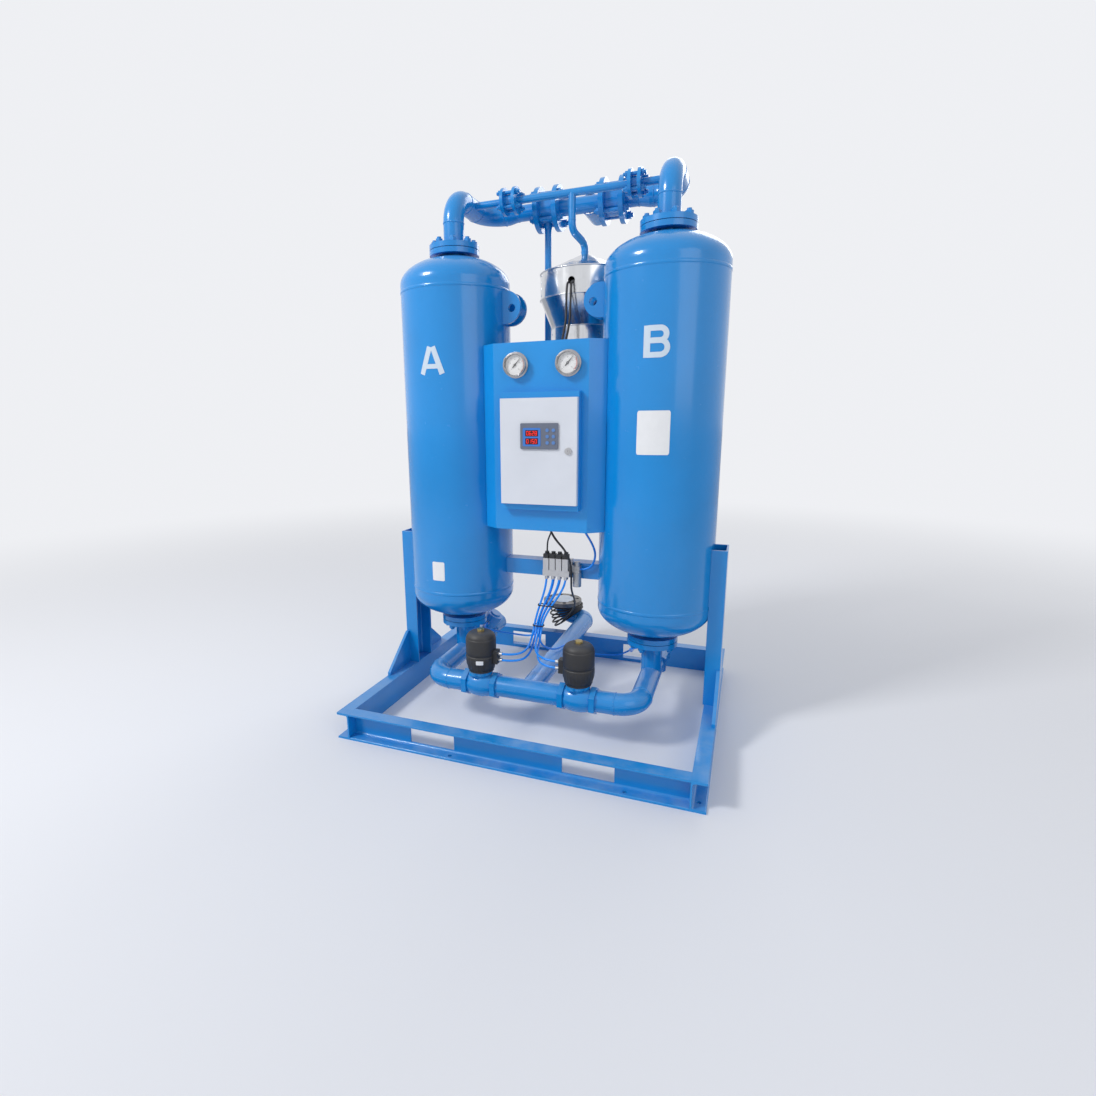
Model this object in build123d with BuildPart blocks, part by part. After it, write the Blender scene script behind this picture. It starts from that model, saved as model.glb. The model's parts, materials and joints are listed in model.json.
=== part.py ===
from build123d import *
import math
import os

os.makedirs("parts", exist_ok=True)

# Twin-tower air dryer. Millimetres, +X to the right, +Y to the back, +Z up.
# The origin is the middle of the four anchor holes, on the floor.

# Skid: rolled channels, flanges outward
SKID_WIDTH = 1280.0
SKID_DEPTH = 1110.0
CHANNEL_HEIGHT = 100.0
CHANNEL_WIDTH = 48.0
CHANNEL_WEB = 5.3
CHANNEL_FLANGE = 8.5
FORK_POCKET_X = 277.0
FORK_POCKET_WIDTH = 170.0
FORK_POCKET_HEIGHT = 68.0
ANCHOR_X = 616.0
ANCHOR_Y = 513.0
ANCHOR_RADIUS = 7.0

# Posts
POST_DEPTH = 120.0
POST_WIDTH = 53.0
POST_WEB = 5.5
POST_FLANGE = 9.0
POST_TOP = 675.0

# Towers
TOWER_X = 390.0
TOWER_Y = 15.0
TOWER_RADIUS = 206.0
TOWER_WALL = 6.0
SEAM_BOTTOM = 464.0
SEAM_TOP = 1588.0
STRAIGHT_FLANGE = 25.0

# Pipes: outside radius and wall
DN65 = 38.05
DN50 = 30.15
DN20 = 13.45
WALL65 = 3.6
FLANGE_RADIUS = 92.5
FLANGE_THICK = 18.0
FLANGE_PCD_RADIUS = 72.5
FLANGE_HOLE = 9.0
BOLT_RADIUS = 8.0
HEX16 = 24.0
LOWER_FLANGE_Z = 294.0
UPPER_FLANGE_Z = 1718.0
GASKET = 2.0
MANIFOLD_Z = 168.0
MANIFOLD_Y = -285.0
HEADER_Z = 1928.0
HEADER_Y = 310.0
PURGE_Y = 150.0
PURGE_Z = 1925.0
VALVE_X = 184.0
INLET_X = -128.0
INLET_Y = 585.0
INLET_TOP = 250.0
EXHAUST_Y = 187.0

# Heater
HEATER_X = 55.0
HEATER_Y = 225.0

# Panel
PANEL_FRONT = -150.0
PANEL_HALF = 172.0
PANEL_BOTTOM = 730.0
PANEL_TOP = 1384.0
SHEET = 2.0
BOX_X = 8.0
BOX_HALF = 140.0
BOX_FRONT = -180.0
BOX_BACK = -22.0
BOX_BOTTOM = 810.0
BOX_TOP = 1216.0
DOOR_HALF = 139.0
DOOR_BOTTOM = 832.0
DOOR_TOP = 1196.0
DOOR_THICK = 18.0
HINGE_X = BOX_X - BOX_HALF - 5
HINGE_Y = BOX_FRONT - 2.5
GAUGES = (-86.0, 102.0)
GAUGE_Z = 1308.0
CABLE_SLOT = (26.0, -100.0)
LOCK_X = 116.0
LOCK_Z = 1018.0
CONTROLLER_X = 14.0
CONTROLLER_Z = 1068.0

ALONG_X = (0, 90, 0)
ALONG_Y = (-90, 0, 0)
LOW = (Align.CENTER, Align.CENTER, Align.MIN)


def turn(points, index):
    """Angle in degrees by which a route turns at one of its corners."""
    before = Vector(*points[index]) - Vector(*points[index - 1])
    after = Vector(*points[index + 1]) - Vector(*points[index])
    return before.get_angle(after)


def bend_radii(points, largest):
    """Radius of each corner: 0.45 of the shorter run over the tangent of half the turn."""
    radii = []
    for index in range(1, len(points) - 1):
        before = (Vector(*points[index]) - Vector(*points[index - 1])).length
        after = (Vector(*points[index + 1]) - Vector(*points[index])).length
        half = math.radians(turn(points, index) / 2)
        radii.append(min(largest, 0.45 * min(before, after) / math.tan(half)))
    return radii


def rod(points, radii, radius, mode=Mode.ADD):
    """Sweeps a round section along straight runs joined by arcs; gives back the route's length."""
    with BuildLine() as route:
        if len(points) == 2:
            Line(*points)
        else:
            FilletPolyline(*points, radius=radii)
    with BuildSketch(Plane(origin=route.line @ 0, z_dir=route.line % 0)) as section:
        Circle(radius)
    sweep(section.sketch, path=route.line, mode=mode)
    return sum(edge.length for edge in route.edges())


def pipe(points, radii, outside, wall):
    """Hollow pipe along a route."""
    rod(points, radii, outside)
    rod(points, radii, outside - wall, mode=Mode.SUBTRACT)


def hexagons(plane, spots, across, thick):
    """Six-sided nuts or heads standing on a plane at the given spots."""
    with BuildSketch(plane) as outline:
        with Locations(*spots):
            RegularPolygon(across / 2, 6, major_radius=False)
    extrude(outline.sketch, amount=thick)


def ring_spots(radius, count, start):
    """Evenly spaced spots on a circle, in the plane's own axes."""
    step = 2 * math.pi / count
    first = math.radians(start)
    return [
        (radius * math.cos(first + n * step), radius * math.sin(first + n * step))
        for n in range(count)
    ]


# Skid
WEB_X = SKID_WIDTH / 2 - CHANNEL_WIDTH
WEB_Y = SKID_DEPTH / 2 - CHANNEL_WIDTH

with BuildSketch() as channel:
    Rectangle(CHANNEL_WIDTH, CHANNEL_HEIGHT, align=(Align.MIN, Align.MIN))
    with Locations((CHANNEL_WEB, CHANNEL_FLANGE)):
        Rectangle(
            CHANNEL_WIDTH - CHANNEL_WEB,
            CHANNEL_HEIGHT - 2 * CHANNEL_FLANGE,
            align=(Align.MIN, Align.MIN),
            mode=Mode.SUBTRACT,
        )
    inner = [v for v in channel.vertices() if CHANNEL_FLANGE - 1 < v.Y < CHANNEL_HEIGHT - CHANNEL_FLANGE + 1]
    fillet([v for v in inner if v.X < CHANNEL_WIDTH / 2], 8.0)
    inner = [v for v in channel.vertices() if CHANNEL_FLANGE - 1 < v.Y < CHANNEL_HEIGHT - CHANNEL_FLANGE + 1]
    fillet([v for v in inner if v.X > CHANNEL_WIDTH - 1], 4.0)

with BuildPart() as side_beams:
    with BuildSketch(Plane.XZ.offset(SKID_DEPTH / 2)):
        with Locations((WEB_X, 0)):
            add(channel.sketch)
    extrude(amount=-SKID_DEPTH)
    with Locations((ANCHOR_X, -ANCHOR_Y, CHANNEL_FLANGE), (ANCHOR_X, ANCHOR_Y, CHANNEL_FLANGE)):
        Hole(ANCHOR_RADIUS, depth=CHANNEL_FLANGE)
    mirror(about=Plane.YZ)

with BuildPart() as rear_beam:
    with BuildSketch(Plane.YZ.offset(-WEB_X)):
        with Locations((WEB_Y, 0)):
            add(channel.sketch)
    extrude(amount=2 * WEB_X)
    with Locations(
        (-FORK_POCKET_X, WEB_Y, CHANNEL_HEIGHT / 2 - 2), (FORK_POCKET_X, WEB_Y, CHANNEL_HEIGHT / 2 - 2)
    ):
        Box(FORK_POCKET_WIDTH, 4 * CHANNEL_WEB, FORK_POCKET_HEIGHT, mode=Mode.SUBTRACT)
    with Locations((-196, ANCHOR_Y + 24, CHANNEL_FLANGE), (400, ANCHOR_Y + 24, CHANNEL_FLANGE)):
        Hole(ANCHOR_RADIUS, depth=CHANNEL_FLANGE)

with BuildPart() as front_beam:
    mirror(rear_beam.part, about=Plane.XZ)

# Posts, gussets and tie bar
with BuildPart() as posts:
    with BuildSketch(Plane.XY.offset(CHANNEL_HEIGHT)) as post_profile:
        with Locations((SKID_WIDTH / 2 - POST_WIDTH / 2, TOWER_Y)):
            Rectangle(POST_WIDTH, POST_DEPTH)
        with Locations((SKID_WIDTH / 2 - POST_WEB - POST_WIDTH / 2, TOWER_Y)):
            Rectangle(POST_WIDTH, POST_DEPTH - 2 * POST_FLANGE, mode=Mode.SUBTRACT)
        root = SKID_WIDTH / 2 - POST_WEB
        fillet([v for v in post_profile.vertices() if abs(v.X - root) < 0.1], 8.0)
    extrude(amount=POST_TOP - CHANNEL_HEIGHT)
    with Locations((TOWER_X, TOWER_Y, CHANNEL_HEIGHT)):
        Cylinder(TOWER_RADIUS, POST_TOP, align=LOW, mode=Mode.SUBTRACT)
    with Locations((TOWER_X, TOWER_Y, SEAM_BOTTOM - 7)):
        Cylinder(TOWER_RADIUS + 2, 14, align=LOW, mode=Mode.SUBTRACT)
    mirror(about=Plane.YZ)

POST_FRONT = TOWER_Y - POST_DEPTH / 2
with BuildPart() as gussets:
    with BuildSketch(Plane.YZ.offset(SKID_WIDTH / 2 - 12)):
        with BuildLine():
            Polyline(
                (POST_FRONT, CHANNEL_HEIGHT),
                (POST_FRONT, CHANNEL_HEIGHT + 140),
                (POST_FRONT - 10, CHANNEL_HEIGHT + 140),
                (POST_FRONT - 166, CHANNEL_HEIGHT + 12),
                (POST_FRONT - 166, CHANNEL_HEIGHT),
                close=True,
            )
        make_face()
        mirror(about=Plane.YZ.offset(TOWER_Y))
    extrude(amount=12)
    mirror(about=Plane.YZ)

with BuildPart() as tie_bar:
    with Locations((0, TOWER_Y, 558)):
        Box(2 * TOWER_X - 380, 60, 60)
        Box(2 * TOWER_X - 380, 52, 52, mode=Mode.SUBTRACT)
    with Locations((TOWER_X, TOWER_Y, 558), (-TOWER_X, TOWER_Y, 558)):
        Cylinder(TOWER_RADIUS, 80, mode=Mode.SUBTRACT)

# Towers
HEAD = TOWER_RADIUS / 2
KNUCKLE_LOW = SEAM_BOTTOM - STRAIGHT_FLANGE
KNUCKLE_HIGH = SEAM_TOP + STRAIGHT_FLANGE
INSIDE = TOWER_RADIUS - TOWER_WALL
INSIDE_HEAD = HEAD - TOWER_WALL
NECK_LOW = LOWER_FLANGE_Z + FLANGE_THICK + GASKET + FLANGE_THICK

with BuildPart() as tower_b_shell:
    with BuildSketch(Plane((TOWER_X, TOWER_Y, 0), x_dir=(1, 0, 0), z_dir=(0, -1, 0))):
        with Locations((0, KNUCKLE_LOW), (0, KNUCKLE_HIGH)):
            Ellipse(TOWER_RADIUS, HEAD)
        with Locations((0, KNUCKLE_LOW)):
            Rectangle(2 * TOWER_RADIUS, KNUCKLE_HIGH - KNUCKLE_LOW, align=(Align.CENTER, Align.MIN))
        with Locations((0, NECK_LOW)):
            Rectangle(2 * DN65, UPPER_FLANGE_Z - NECK_LOW, align=(Align.CENTER, Align.MIN))
        for seam in (SEAM_BOTTOM, SEAM_TOP):
            with Locations((TOWER_RADIUS - 0.5, seam)):
                Ellipse(2.2, 6)
        with Locations((0, KNUCKLE_LOW), (0, KNUCKLE_HIGH)):
            Ellipse(INSIDE, INSIDE_HEAD, mode=Mode.SUBTRACT)
        with Locations((0, KNUCKLE_LOW)):
            Rectangle(
                2 * INSIDE, KNUCKLE_HIGH - KNUCKLE_LOW, align=(Align.CENTER, Align.MIN), mode=Mode.SUBTRACT
            )
        with Locations((0, NECK_LOW)):
            Rectangle(
                2 * (DN65 - WALL65),
                UPPER_FLANGE_Z - NECK_LOW,
                align=(Align.CENTER, Align.MIN),
                mode=Mode.SUBTRACT,
            )
        with Locations((0, 1000)):
            Rectangle(TOWER_RADIUS * 2, 2000, align=(Align.MAX, Align.CENTER), mode=Mode.SUBTRACT)
    revolve(axis=Axis((TOWER_X, TOWER_Y, 0), (0, 0, 1)))

with BuildPart() as tower_a_shell:
    mirror(tower_b_shell.part, about=Plane.YZ)

with BuildPart() as desiccant_beds:
    with Locations((-TOWER_X, TOWER_Y, 480), (TOWER_X, TOWER_Y, 480)):
        Cylinder(INSIDE - 0.05, 1080, align=LOW)

with BuildPart() as bed_screens:
    for side in (-1, 1):
        for level in (474, 1560):
            with Locations((side * TOWER_X, TOWER_Y, level)):
                Cylinder(INSIDE - 0.05, 6, align=LOW)
                for circle in (60, 120, 170):
                    with PolarLocations(circle, 8):
                        Cylinder(10, 6, align=LOW, mode=Mode.SUBTRACT)

with BuildPart() as lifting_lugs:
    for level in (TOWER_Y - 30, TOWER_Y + 30):
        with BuildSketch(Plane.XZ.offset(-level - 6)):
            with Locations((-175, 1522)):
                Circle(58)
                Rectangle(60, 116, align=(Align.MAX, Align.CENTER))
            with Locations((-150, 1518)):
                Circle(13.5, mode=Mode.SUBTRACT)
        extrude(amount=12)
    with Locations((-TOWER_X, TOWER_Y, 1400)):
        Cylinder(TOWER_RADIUS, 180, align=LOW, mode=Mode.SUBTRACT)
    mirror(about=Plane.YZ)

# Tower flanges, gaskets and bolts
vessel_levels = (LOWER_FLANGE_Z + FLANGE_THICK + GASKET, UPPER_FLANGE_Z)
pipe_levels = (LOWER_FLANGE_Z, UPPER_FLANGE_Z + FLANGE_THICK + GASKET)
gasket_levels = (LOWER_FLANGE_Z + FLANGE_THICK, UPPER_FLANGE_Z + FLANGE_THICK)

with BuildPart() as vessel_flanges:
    for side in (-1, 1):
        for level in vessel_levels:
            with BuildSketch(Plane((side * TOWER_X, TOWER_Y, level))):
                Circle(FLANGE_RADIUS)
                Circle(DN65 - WALL65, mode=Mode.SUBTRACT)
                with Locations(*ring_spots(FLANGE_PCD_RADIUS, 8, 22.5)):
                    Circle(BOLT_RADIUS, mode=Mode.SUBTRACT)
            extrude(amount=FLANGE_THICK)

with BuildPart() as flange_gaskets:
    for side in (-1, 1):
        for level in gasket_levels:
            with BuildSketch(Plane((side * TOWER_X, TOWER_Y, level))):
                Circle(FLANGE_PCD_RADIUS - FLANGE_HOLE - 2)
                Circle(DN65, mode=Mode.SUBTRACT)
            extrude(amount=GASKET)

STACK = 2 * FLANGE_THICK + GASKET

# Lower manifold
lower_run = [
    (-VALVE_X - 66, MANIFOLD_Y, MANIFOLD_Z),
    (-TOWER_X, MANIFOLD_Y, MANIFOLD_Z),
    (-TOWER_X, 112, MANIFOLD_Z),
]
lower_riser = [(-TOWER_X, TOWER_Y, MANIFOLD_Z), (-TOWER_X, TOWER_Y, LOWER_FLANGE_Z)]
with BuildPart() as lower_left_pipe:
    rod(lower_run, [76], DN65)
    rod(lower_riser, [], DN65)
    rod(lower_run, [76], DN65 - WALL65, mode=Mode.SUBTRACT)
    rod(lower_riser, [], DN65 - WALL65, mode=Mode.SUBTRACT)

with BuildPart() as lower_right_pipe:
    mirror(lower_left_pipe.part, about=Plane.YZ)

inlet_run = [
    (0, MANIFOLD_Y + 4, MANIFOLD_Z),
    (0, INLET_Y, MANIFOLD_Z),
    (INLET_X, INLET_Y, MANIFOLD_Z),
    (INLET_X, INLET_Y, INLET_TOP - FLANGE_THICK),
]
middle_run = [(-VALVE_X + 66, MANIFOLD_Y, MANIFOLD_Z), (VALVE_X - 66, MANIFOLD_Y, MANIFOLD_Z)]
with BuildPart() as inlet_pipe:
    rod(middle_run, [], DN65)
    rod(inlet_run, [63.5, 63.5], DN65)
    rod(middle_run, [], DN65 - WALL65, mode=Mode.SUBTRACT)
    rod(inlet_run, [63.5, 63.5], DN65 - WALL65, mode=Mode.SUBTRACT)

BODY_HALF = 47.0
NUT_LENGTH = 19.0
with BuildPart() as union_nuts:
    for side in (-1, 1):
        for end in (-BODY_HALF - NUT_LENGTH, BODY_HALF):
            with BuildSketch(Plane((side * VALVE_X + end, MANIFOLD_Y, MANIFOLD_Z), z_dir=(1, 0, 0))):
                RegularPolygon(44, 6, major_radius=False)
                Circle(DN65 - WALL65, mode=Mode.SUBTRACT)
            extrude(amount=NUT_LENGTH)

ACTUATOR_Z = 224.0
with BuildPart() as inlet_valve_bodies:
    for side in (-1, 1):
        with BuildSketch(Plane((side * VALVE_X, MANIFOLD_Y, MANIFOLD_Z), x_dir=(1, 0, 0), z_dir=(0, -1, 0))):
            with BuildLine():
                Line((-BODY_HALF, 0), (BODY_HALF, 0))
                Line((BODY_HALF, 0), (BODY_HALF, 39))
                ThreePointArc((BODY_HALF, 39), (0, 48), (-BODY_HALF, 39))
                Line((-BODY_HALF, 39), (-BODY_HALF, 0))
            make_face()
        revolve(axis=Axis((side * VALVE_X, MANIFOLD_Y, MANIFOLD_Z), (1, 0, 0)))
        with Locations((side * VALVE_X, MANIFOLD_Y, MANIFOLD_Z)):
            Cylinder(34, ACTUATOR_Z - MANIFOLD_Z - 10, align=LOW)
        with BuildSketch(Plane((side * VALVE_X, MANIFOLD_Y, ACTUATOR_Z - 12))):
            with Locations((-16, -30), (16, 30)):
                Circle(20)
            Circle(42)
        extrude(amount=12)
        with Locations(Location((side * VALVE_X - 60, MANIFOLD_Y, MANIFOLD_Z), ALONG_X)):
            Cylinder(28, 52, align=LOW, mode=Mode.SUBTRACT)
        with Locations(Location((side * VALVE_X + 8, MANIFOLD_Y, MANIFOLD_Z), ALONG_X)):
            Cylinder(28, 52, align=LOW, mode=Mode.SUBTRACT)

with BuildPart() as inlet_actuators:
    for side in (-1, 1):
        with BuildSketch(Plane((side * VALVE_X, MANIFOLD_Y, ACTUATOR_Z), x_dir=(1, 0, 0), z_dir=(0, -1, 0))):
            with BuildLine():
                Polyline((6.05, 0), (46, 0), (46, 8), (48, 20), (52, 28), (54, 60), (54, 124))
                ThreePointArc((54, 124), (47, 140), (26, 148))
                Polyline((26, 148), (6.05, 149), (6.05, 0))
            make_face()
        revolve(axis=Axis((side * VALVE_X, MANIFOLD_Y, 0), (0, 0, 1)))
        with Locations((side * (VALVE_X - 58), MANIFOLD_Y, ACTUATOR_Z + 58)):
            Box(22, 30, 50)

with BuildPart() as actuator_fittings:
    for side in (-1, 1):
        for level in (46, 70):
            with Locations(Location((side * (VALVE_X - 69), MANIFOLD_Y, ACTUATOR_Z + level), (0, -90 * side, 0))):
                Cylinder(7, 14, align=LOW)
                Cylinder(4.05, 14, align=LOW, mode=Mode.SUBTRACT)

    for side in (-1, 1):
        with Locations(Location((side * 342.6, EXHAUST_Y - 31, 244.5), (90, 0, 0))):
            Cylinder(7, 14, align=LOW)
            Cylinder(4.05, 14, align=LOW, mode=Mode.SUBTRACT)

indicators = {}
for name, side in (("a", -1), ("b", 1)):
    with BuildPart() as indicator:
        with Locations((side * VALVE_X, MANIFOLD_Y, ACTUATOR_Z + 100)):
            Cylinder(6, 52, align=LOW)
        hexagons(Plane((side * VALVE_X, MANIFOLD_Y, ACTUATOR_Z + 149)), [(0, 0)], 24, 9)
    indicators[name] = indicator.part

# Exhaust valves behind the towers
with BuildPart() as exhaust_valve_bodies:
    for side in (-1, 1):
        with BuildSketch(Plane((side * TOWER_X, 112, MANIFOLD_Z), z_dir=(0, 1, 0))):
            RegularPolygon(43, 6, major_radius=False)
        extrude(amount=18)
        with Locations(Location((side * TOWER_X, 130, MANIFOLD_Z), ALONG_Y)):
            Cylinder(41, 112, align=LOW)
        with BuildSketch(Plane((side * TOWER_X, 242, MANIFOLD_Z), z_dir=(0, 1, 0))):
            RegularPolygon(43, 6, major_radius=False)
        extrude(amount=18)
        with Locations(Location((side * TOWER_X, 112, MANIFOLD_Z), ALONG_Y)):
            Cylinder(26, 148, align=LOW, mode=Mode.SUBTRACT)
        lean = Plane((side * TOWER_X, EXHAUST_Y, MANIFOLD_Z), z_dir=(-side * 70, 0, 113))
        with BuildSketch(lean.offset(36)):
            Circle(22)
        extrude(amount=34)

with BuildPart() as exhaust_actuators:
    for side in (-1, 1):
        lean = Plane((side * TOWER_X, EXHAUST_Y, MANIFOLD_Z), z_dir=(-side * 70, 0, 113))
        with BuildSketch(lean.offset(70)):
            Circle(34)
        extrude(amount=58, taper=-2)
        with BuildSketch(lean.offset(128)):
            Circle(24)
        extrude(amount=6, taper=20)
        with Locations(Location((side * 342.6, EXHAUST_Y - 31, 244.5), (90, 0, 0))):
            Cylinder(7, 14, align=LOW, mode=Mode.SUBTRACT)

with BuildPart() as silencers:
    for side in (-1, 1):
        with Locations(Location((side * TOWER_X, 248, MANIFOLD_Z), ALONG_Y)):
            Cylinder(26, 32, align=LOW)
        with Locations(Location((side * TOWER_X, 280, MANIFOLD_Z), ALONG_Y)):
            Cylinder(38, 110, align=LOW)
        with Locations(Location((side * TOWER_X, 390, MANIFOLD_Z), ALONG_Y)):
            Cone(38, 22, 12, align=LOW)

# Upper header
VALVE_A = (-157.0, -64.0)
VALVE_B = (100.0, 191.0)
FEED_X = -117.0
OUTLET_X = 50.0
OUTLET_Y = 460.0
RISER_BASE = UPPER_FLANGE_Z + STACK


def riser_route(side, end):
    """From the top flange up, back and inward to the end of the large pipe."""
    return [
        (side * TOWER_X, TOWER_Y, RISER_BASE),
        (side * TOWER_X, TOWER_Y, HEADER_Z),
        (side * TOWER_X, HEADER_Y, HEADER_Z),
        (end, HEADER_Y, HEADER_Z),
    ]


headers = {}
for name, side, end in (("a", -1, VALVE_A[0]), ("b", 1, VALVE_B[1])):
    big_end = side * (TOWER_X - 110)
    small_start = side * (TOWER_X - 150)
    with BuildPart() as header:
        rod(riser_route(side, big_end), [95, 95], DN65)
        with BuildSketch(Plane((big_end, HEADER_Y, HEADER_Z), z_dir=(-side, 0, 0))):
            Circle(DN65)
        with BuildSketch(Plane((small_start, HEADER_Y, HEADER_Z), z_dir=(-side, 0, 0))):
            Circle(DN50)
        loft()
        rod([(small_start, HEADER_Y, HEADER_Z), (end, HEADER_Y, HEADER_Z)], [], DN50)
        rod(riser_route(side, big_end), [95, 95], DN65 - WALL65, mode=Mode.SUBTRACT)
        rod([(big_end, HEADER_Y, HEADER_Z), (end, HEADER_Y, HEADER_Z)], [], 26.5, mode=Mode.SUBTRACT)
        with Locations(Location((side * (TOWER_X - DN65 + 6), PURGE_Y, PURGE_Z), (0, -90 * side, 0))):
            Cylinder(DN20 - 2.6, 20, mode=Mode.SUBTRACT)
    headers[name] = header.part

with BuildPart() as header_middle:
    rod([(VALVE_A[1], HEADER_Y, HEADER_Z), (VALVE_B[0], HEADER_Y, HEADER_Z)], [], DN50)
    rod([(OUTLET_X, HEADER_Y, HEADER_Z), (OUTLET_X, OUTLET_Y, HEADER_Z)], [], DN65)
    rod([(VALVE_A[1], HEADER_Y, HEADER_Z), (VALVE_B[0], HEADER_Y, HEADER_Z)], [], 26.5, mode=Mode.SUBTRACT)
    rod([(OUTLET_X, HEADER_Y, HEADER_Z), (OUTLET_X, OUTLET_Y, HEADER_Z)], [], DN65 - WALL65, mode=Mode.SUBTRACT)

# Small purge header
PURGE_A = (-243.0, -185.0)
PURGE_B = (231.0, 277.0)
TEE_X = 25.0
PURGE_SIDE = TOWER_X - DN65 + 5
drop_route = [
    (TEE_X, PURGE_Y, PURGE_Z),
    (TEE_X, PURGE_Y, 1800),
    (HEATER_X, HEATER_Y, 1766),
    (HEATER_X, HEATER_Y, 1722),
]
drop_radii = [38, 32]
cross_run = [(PURGE_A[1], PURGE_Y, PURGE_Z), (PURGE_B[0], PURGE_Y, PURGE_Z)]
with BuildPart() as purge_pipes:
    rod(cross_run, [], DN20)
    rod(drop_route, drop_radii, DN20)
    rod(cross_run, [], DN20 - 2.6, mode=Mode.SUBTRACT)
    rod(drop_route, drop_radii, DN20 - 2.6, mode=Mode.SUBTRACT)
    for start, end in ((-PURGE_SIDE, PURGE_A[0]), (PURGE_B[1], PURGE_SIDE)):
        pipe([(start, PURGE_Y, PURGE_Z), (end, PURGE_Y, PURGE_Z)], [], DN20, 2.6)
    with Locations(
        Location((-TOWER_X, PURGE_Y - 60, HEADER_Z), ALONG_Y), Location((TOWER_X, PURGE_Y - 60, HEADER_Z), ALONG_Y)
    ):
        Cylinder(DN65, 120, align=LOW, mode=Mode.SUBTRACT)

feed_route = [
    (FEED_X, HEADER_Y, HEADER_Z - 74),
    (FEED_X, HEADER_Y, 780),
    (HEATER_X, HEATER_Y, 780),
    (HEATER_X, HEATER_Y, 826),
]
with BuildPart() as dry_air_feed:
    pipe(feed_route, [38, 38], DN20, 2.6)

def header_ring(start, y, z, flange):
    """Flange standing across a pipe that runs along X."""
    outside, bore, pitch, hole, thick = flange
    with BuildSketch(Plane((start, y, z), x_dir=(0, 1, 0), z_dir=(1, 0, 0))) as ring:
        Circle(outside)
        Circle(bore, mode=Mode.SUBTRACT)
        with Locations(*ring_spots(pitch, 4, 45)):
            Circle(hole, mode=Mode.SUBTRACT)
    extrude(ring.sketch, amount=thick)


BIG_RING = (82.5, 26.5, 62.5, 9.0, FLANGE_THICK)
SMALL_RING = (47.5, DN20 - 2.6, 34.0, 6.5, 12.0)
with BuildPart() as pipe_flanges:
    for side in (-1, 1):
        for level in pipe_levels:
            with BuildSketch(Plane((side * TOWER_X, TOWER_Y, level))):
                Circle(FLANGE_RADIUS)
                Circle(DN65 - WALL65, mode=Mode.SUBTRACT)
                with Locations(*ring_spots(FLANGE_PCD_RADIUS, 8, 22.5)):
                    Circle(FLANGE_HOLE, mode=Mode.SUBTRACT)
            extrude(amount=FLANGE_THICK)
    with BuildSketch(Plane((INLET_X, INLET_Y, INLET_TOP - FLANGE_THICK))):
        Circle(FLANGE_RADIUS)
        Circle(DN65 - WALL65, mode=Mode.SUBTRACT)
        with Locations(*ring_spots(FLANGE_PCD_RADIUS, 8, 22.5)):
            Circle(FLANGE_HOLE, mode=Mode.SUBTRACT)
    extrude(amount=FLANGE_THICK)
    for start, end in (VALVE_A, VALVE_B):
        header_ring(start, HEADER_Y, HEADER_Z, BIG_RING)
        header_ring(end - FLANGE_THICK, HEADER_Y, HEADER_Z, BIG_RING)
    for start, end in (PURGE_A, PURGE_B):
        header_ring(start, PURGE_Y, PURGE_Z, SMALL_RING)
        header_ring(end - 12, PURGE_Y, PURGE_Z, SMALL_RING)

with BuildPart() as check_valves:
    for start, end in (VALVE_A, VALVE_B):
        inside = end - start - 2 * FLANGE_THICK
        with Locations(Location((start + FLANGE_THICK, HEADER_Y, HEADER_Z), ALONG_X)):
            Cylinder(53, inside, align=LOW)
            Cylinder(26.5, inside, align=LOW, mode=Mode.SUBTRACT)
    with Locations((FEED_X, HEADER_Y, HEADER_Z - 74)):
        Cone(DN20, 20, 30, align=LOW)
        Cylinder(10.5, 46, align=LOW, mode=Mode.SUBTRACT)
    for start, end in (PURGE_A, PURGE_B):
        with Locations(Location((start + 12, PURGE_Y, PURGE_Z), ALONG_X)):
            Cylinder(26, end - start - 24, align=LOW)
            Cylinder(DN20 - 2.6, end - start - 24, align=LOW, mode=Mode.SUBTRACT)

# Bolts, nuts and studs
with BuildPart() as flange_bolts:
    spots = ring_spots(FLANGE_PCD_RADIUS, 8, 22.5)
    for side in (-1, 1):
        low = Plane((side * TOWER_X, TOWER_Y, LOWER_FLANGE_Z))
        high = Plane((side * TOWER_X, TOWER_Y, UPPER_FLANGE_Z))
        for bottom in (low.offset(-20), high):
            with BuildSketch(bottom):
                with Locations(*spots):
                    Circle(BOLT_RADIUS)
            extrude(amount=STACK + 20)
        hexagons(low.offset(-13), spots, HEX16, 13)
        hexagons(high.offset(STACK), spots, HEX16, 13)

with BuildPart() as header_studs:
    for ends, y, z, pitch, thread, across, nut in (
        (VALVE_A, HEADER_Y, HEADER_Z, 62.5, BOLT_RADIUS, HEX16, 13),
        (VALVE_B, HEADER_Y, HEADER_Z, 62.5, BOLT_RADIUS, HEX16, 13),
        (PURGE_A, PURGE_Y, PURGE_Z, 34, 6, 18, 10),
        (PURGE_B, PURGE_Y, PURGE_Z, 34, 6, 18, 10),
    ):
        start, end = ends
        base = Plane((start, y, z), x_dir=(0, 1, 0), z_dir=(1, 0, 0))
        spots = ring_spots(pitch, 4, 45)
        with BuildSketch(base.offset(-nut - 7)):
            with Locations(*spots):
                Circle(thread)
        extrude(amount=end - start + 2 * nut + 14)
        hexagons(base.offset(-nut), spots, across, nut)
        hexagons(base.offset(end - start), spots, across, nut)

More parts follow.
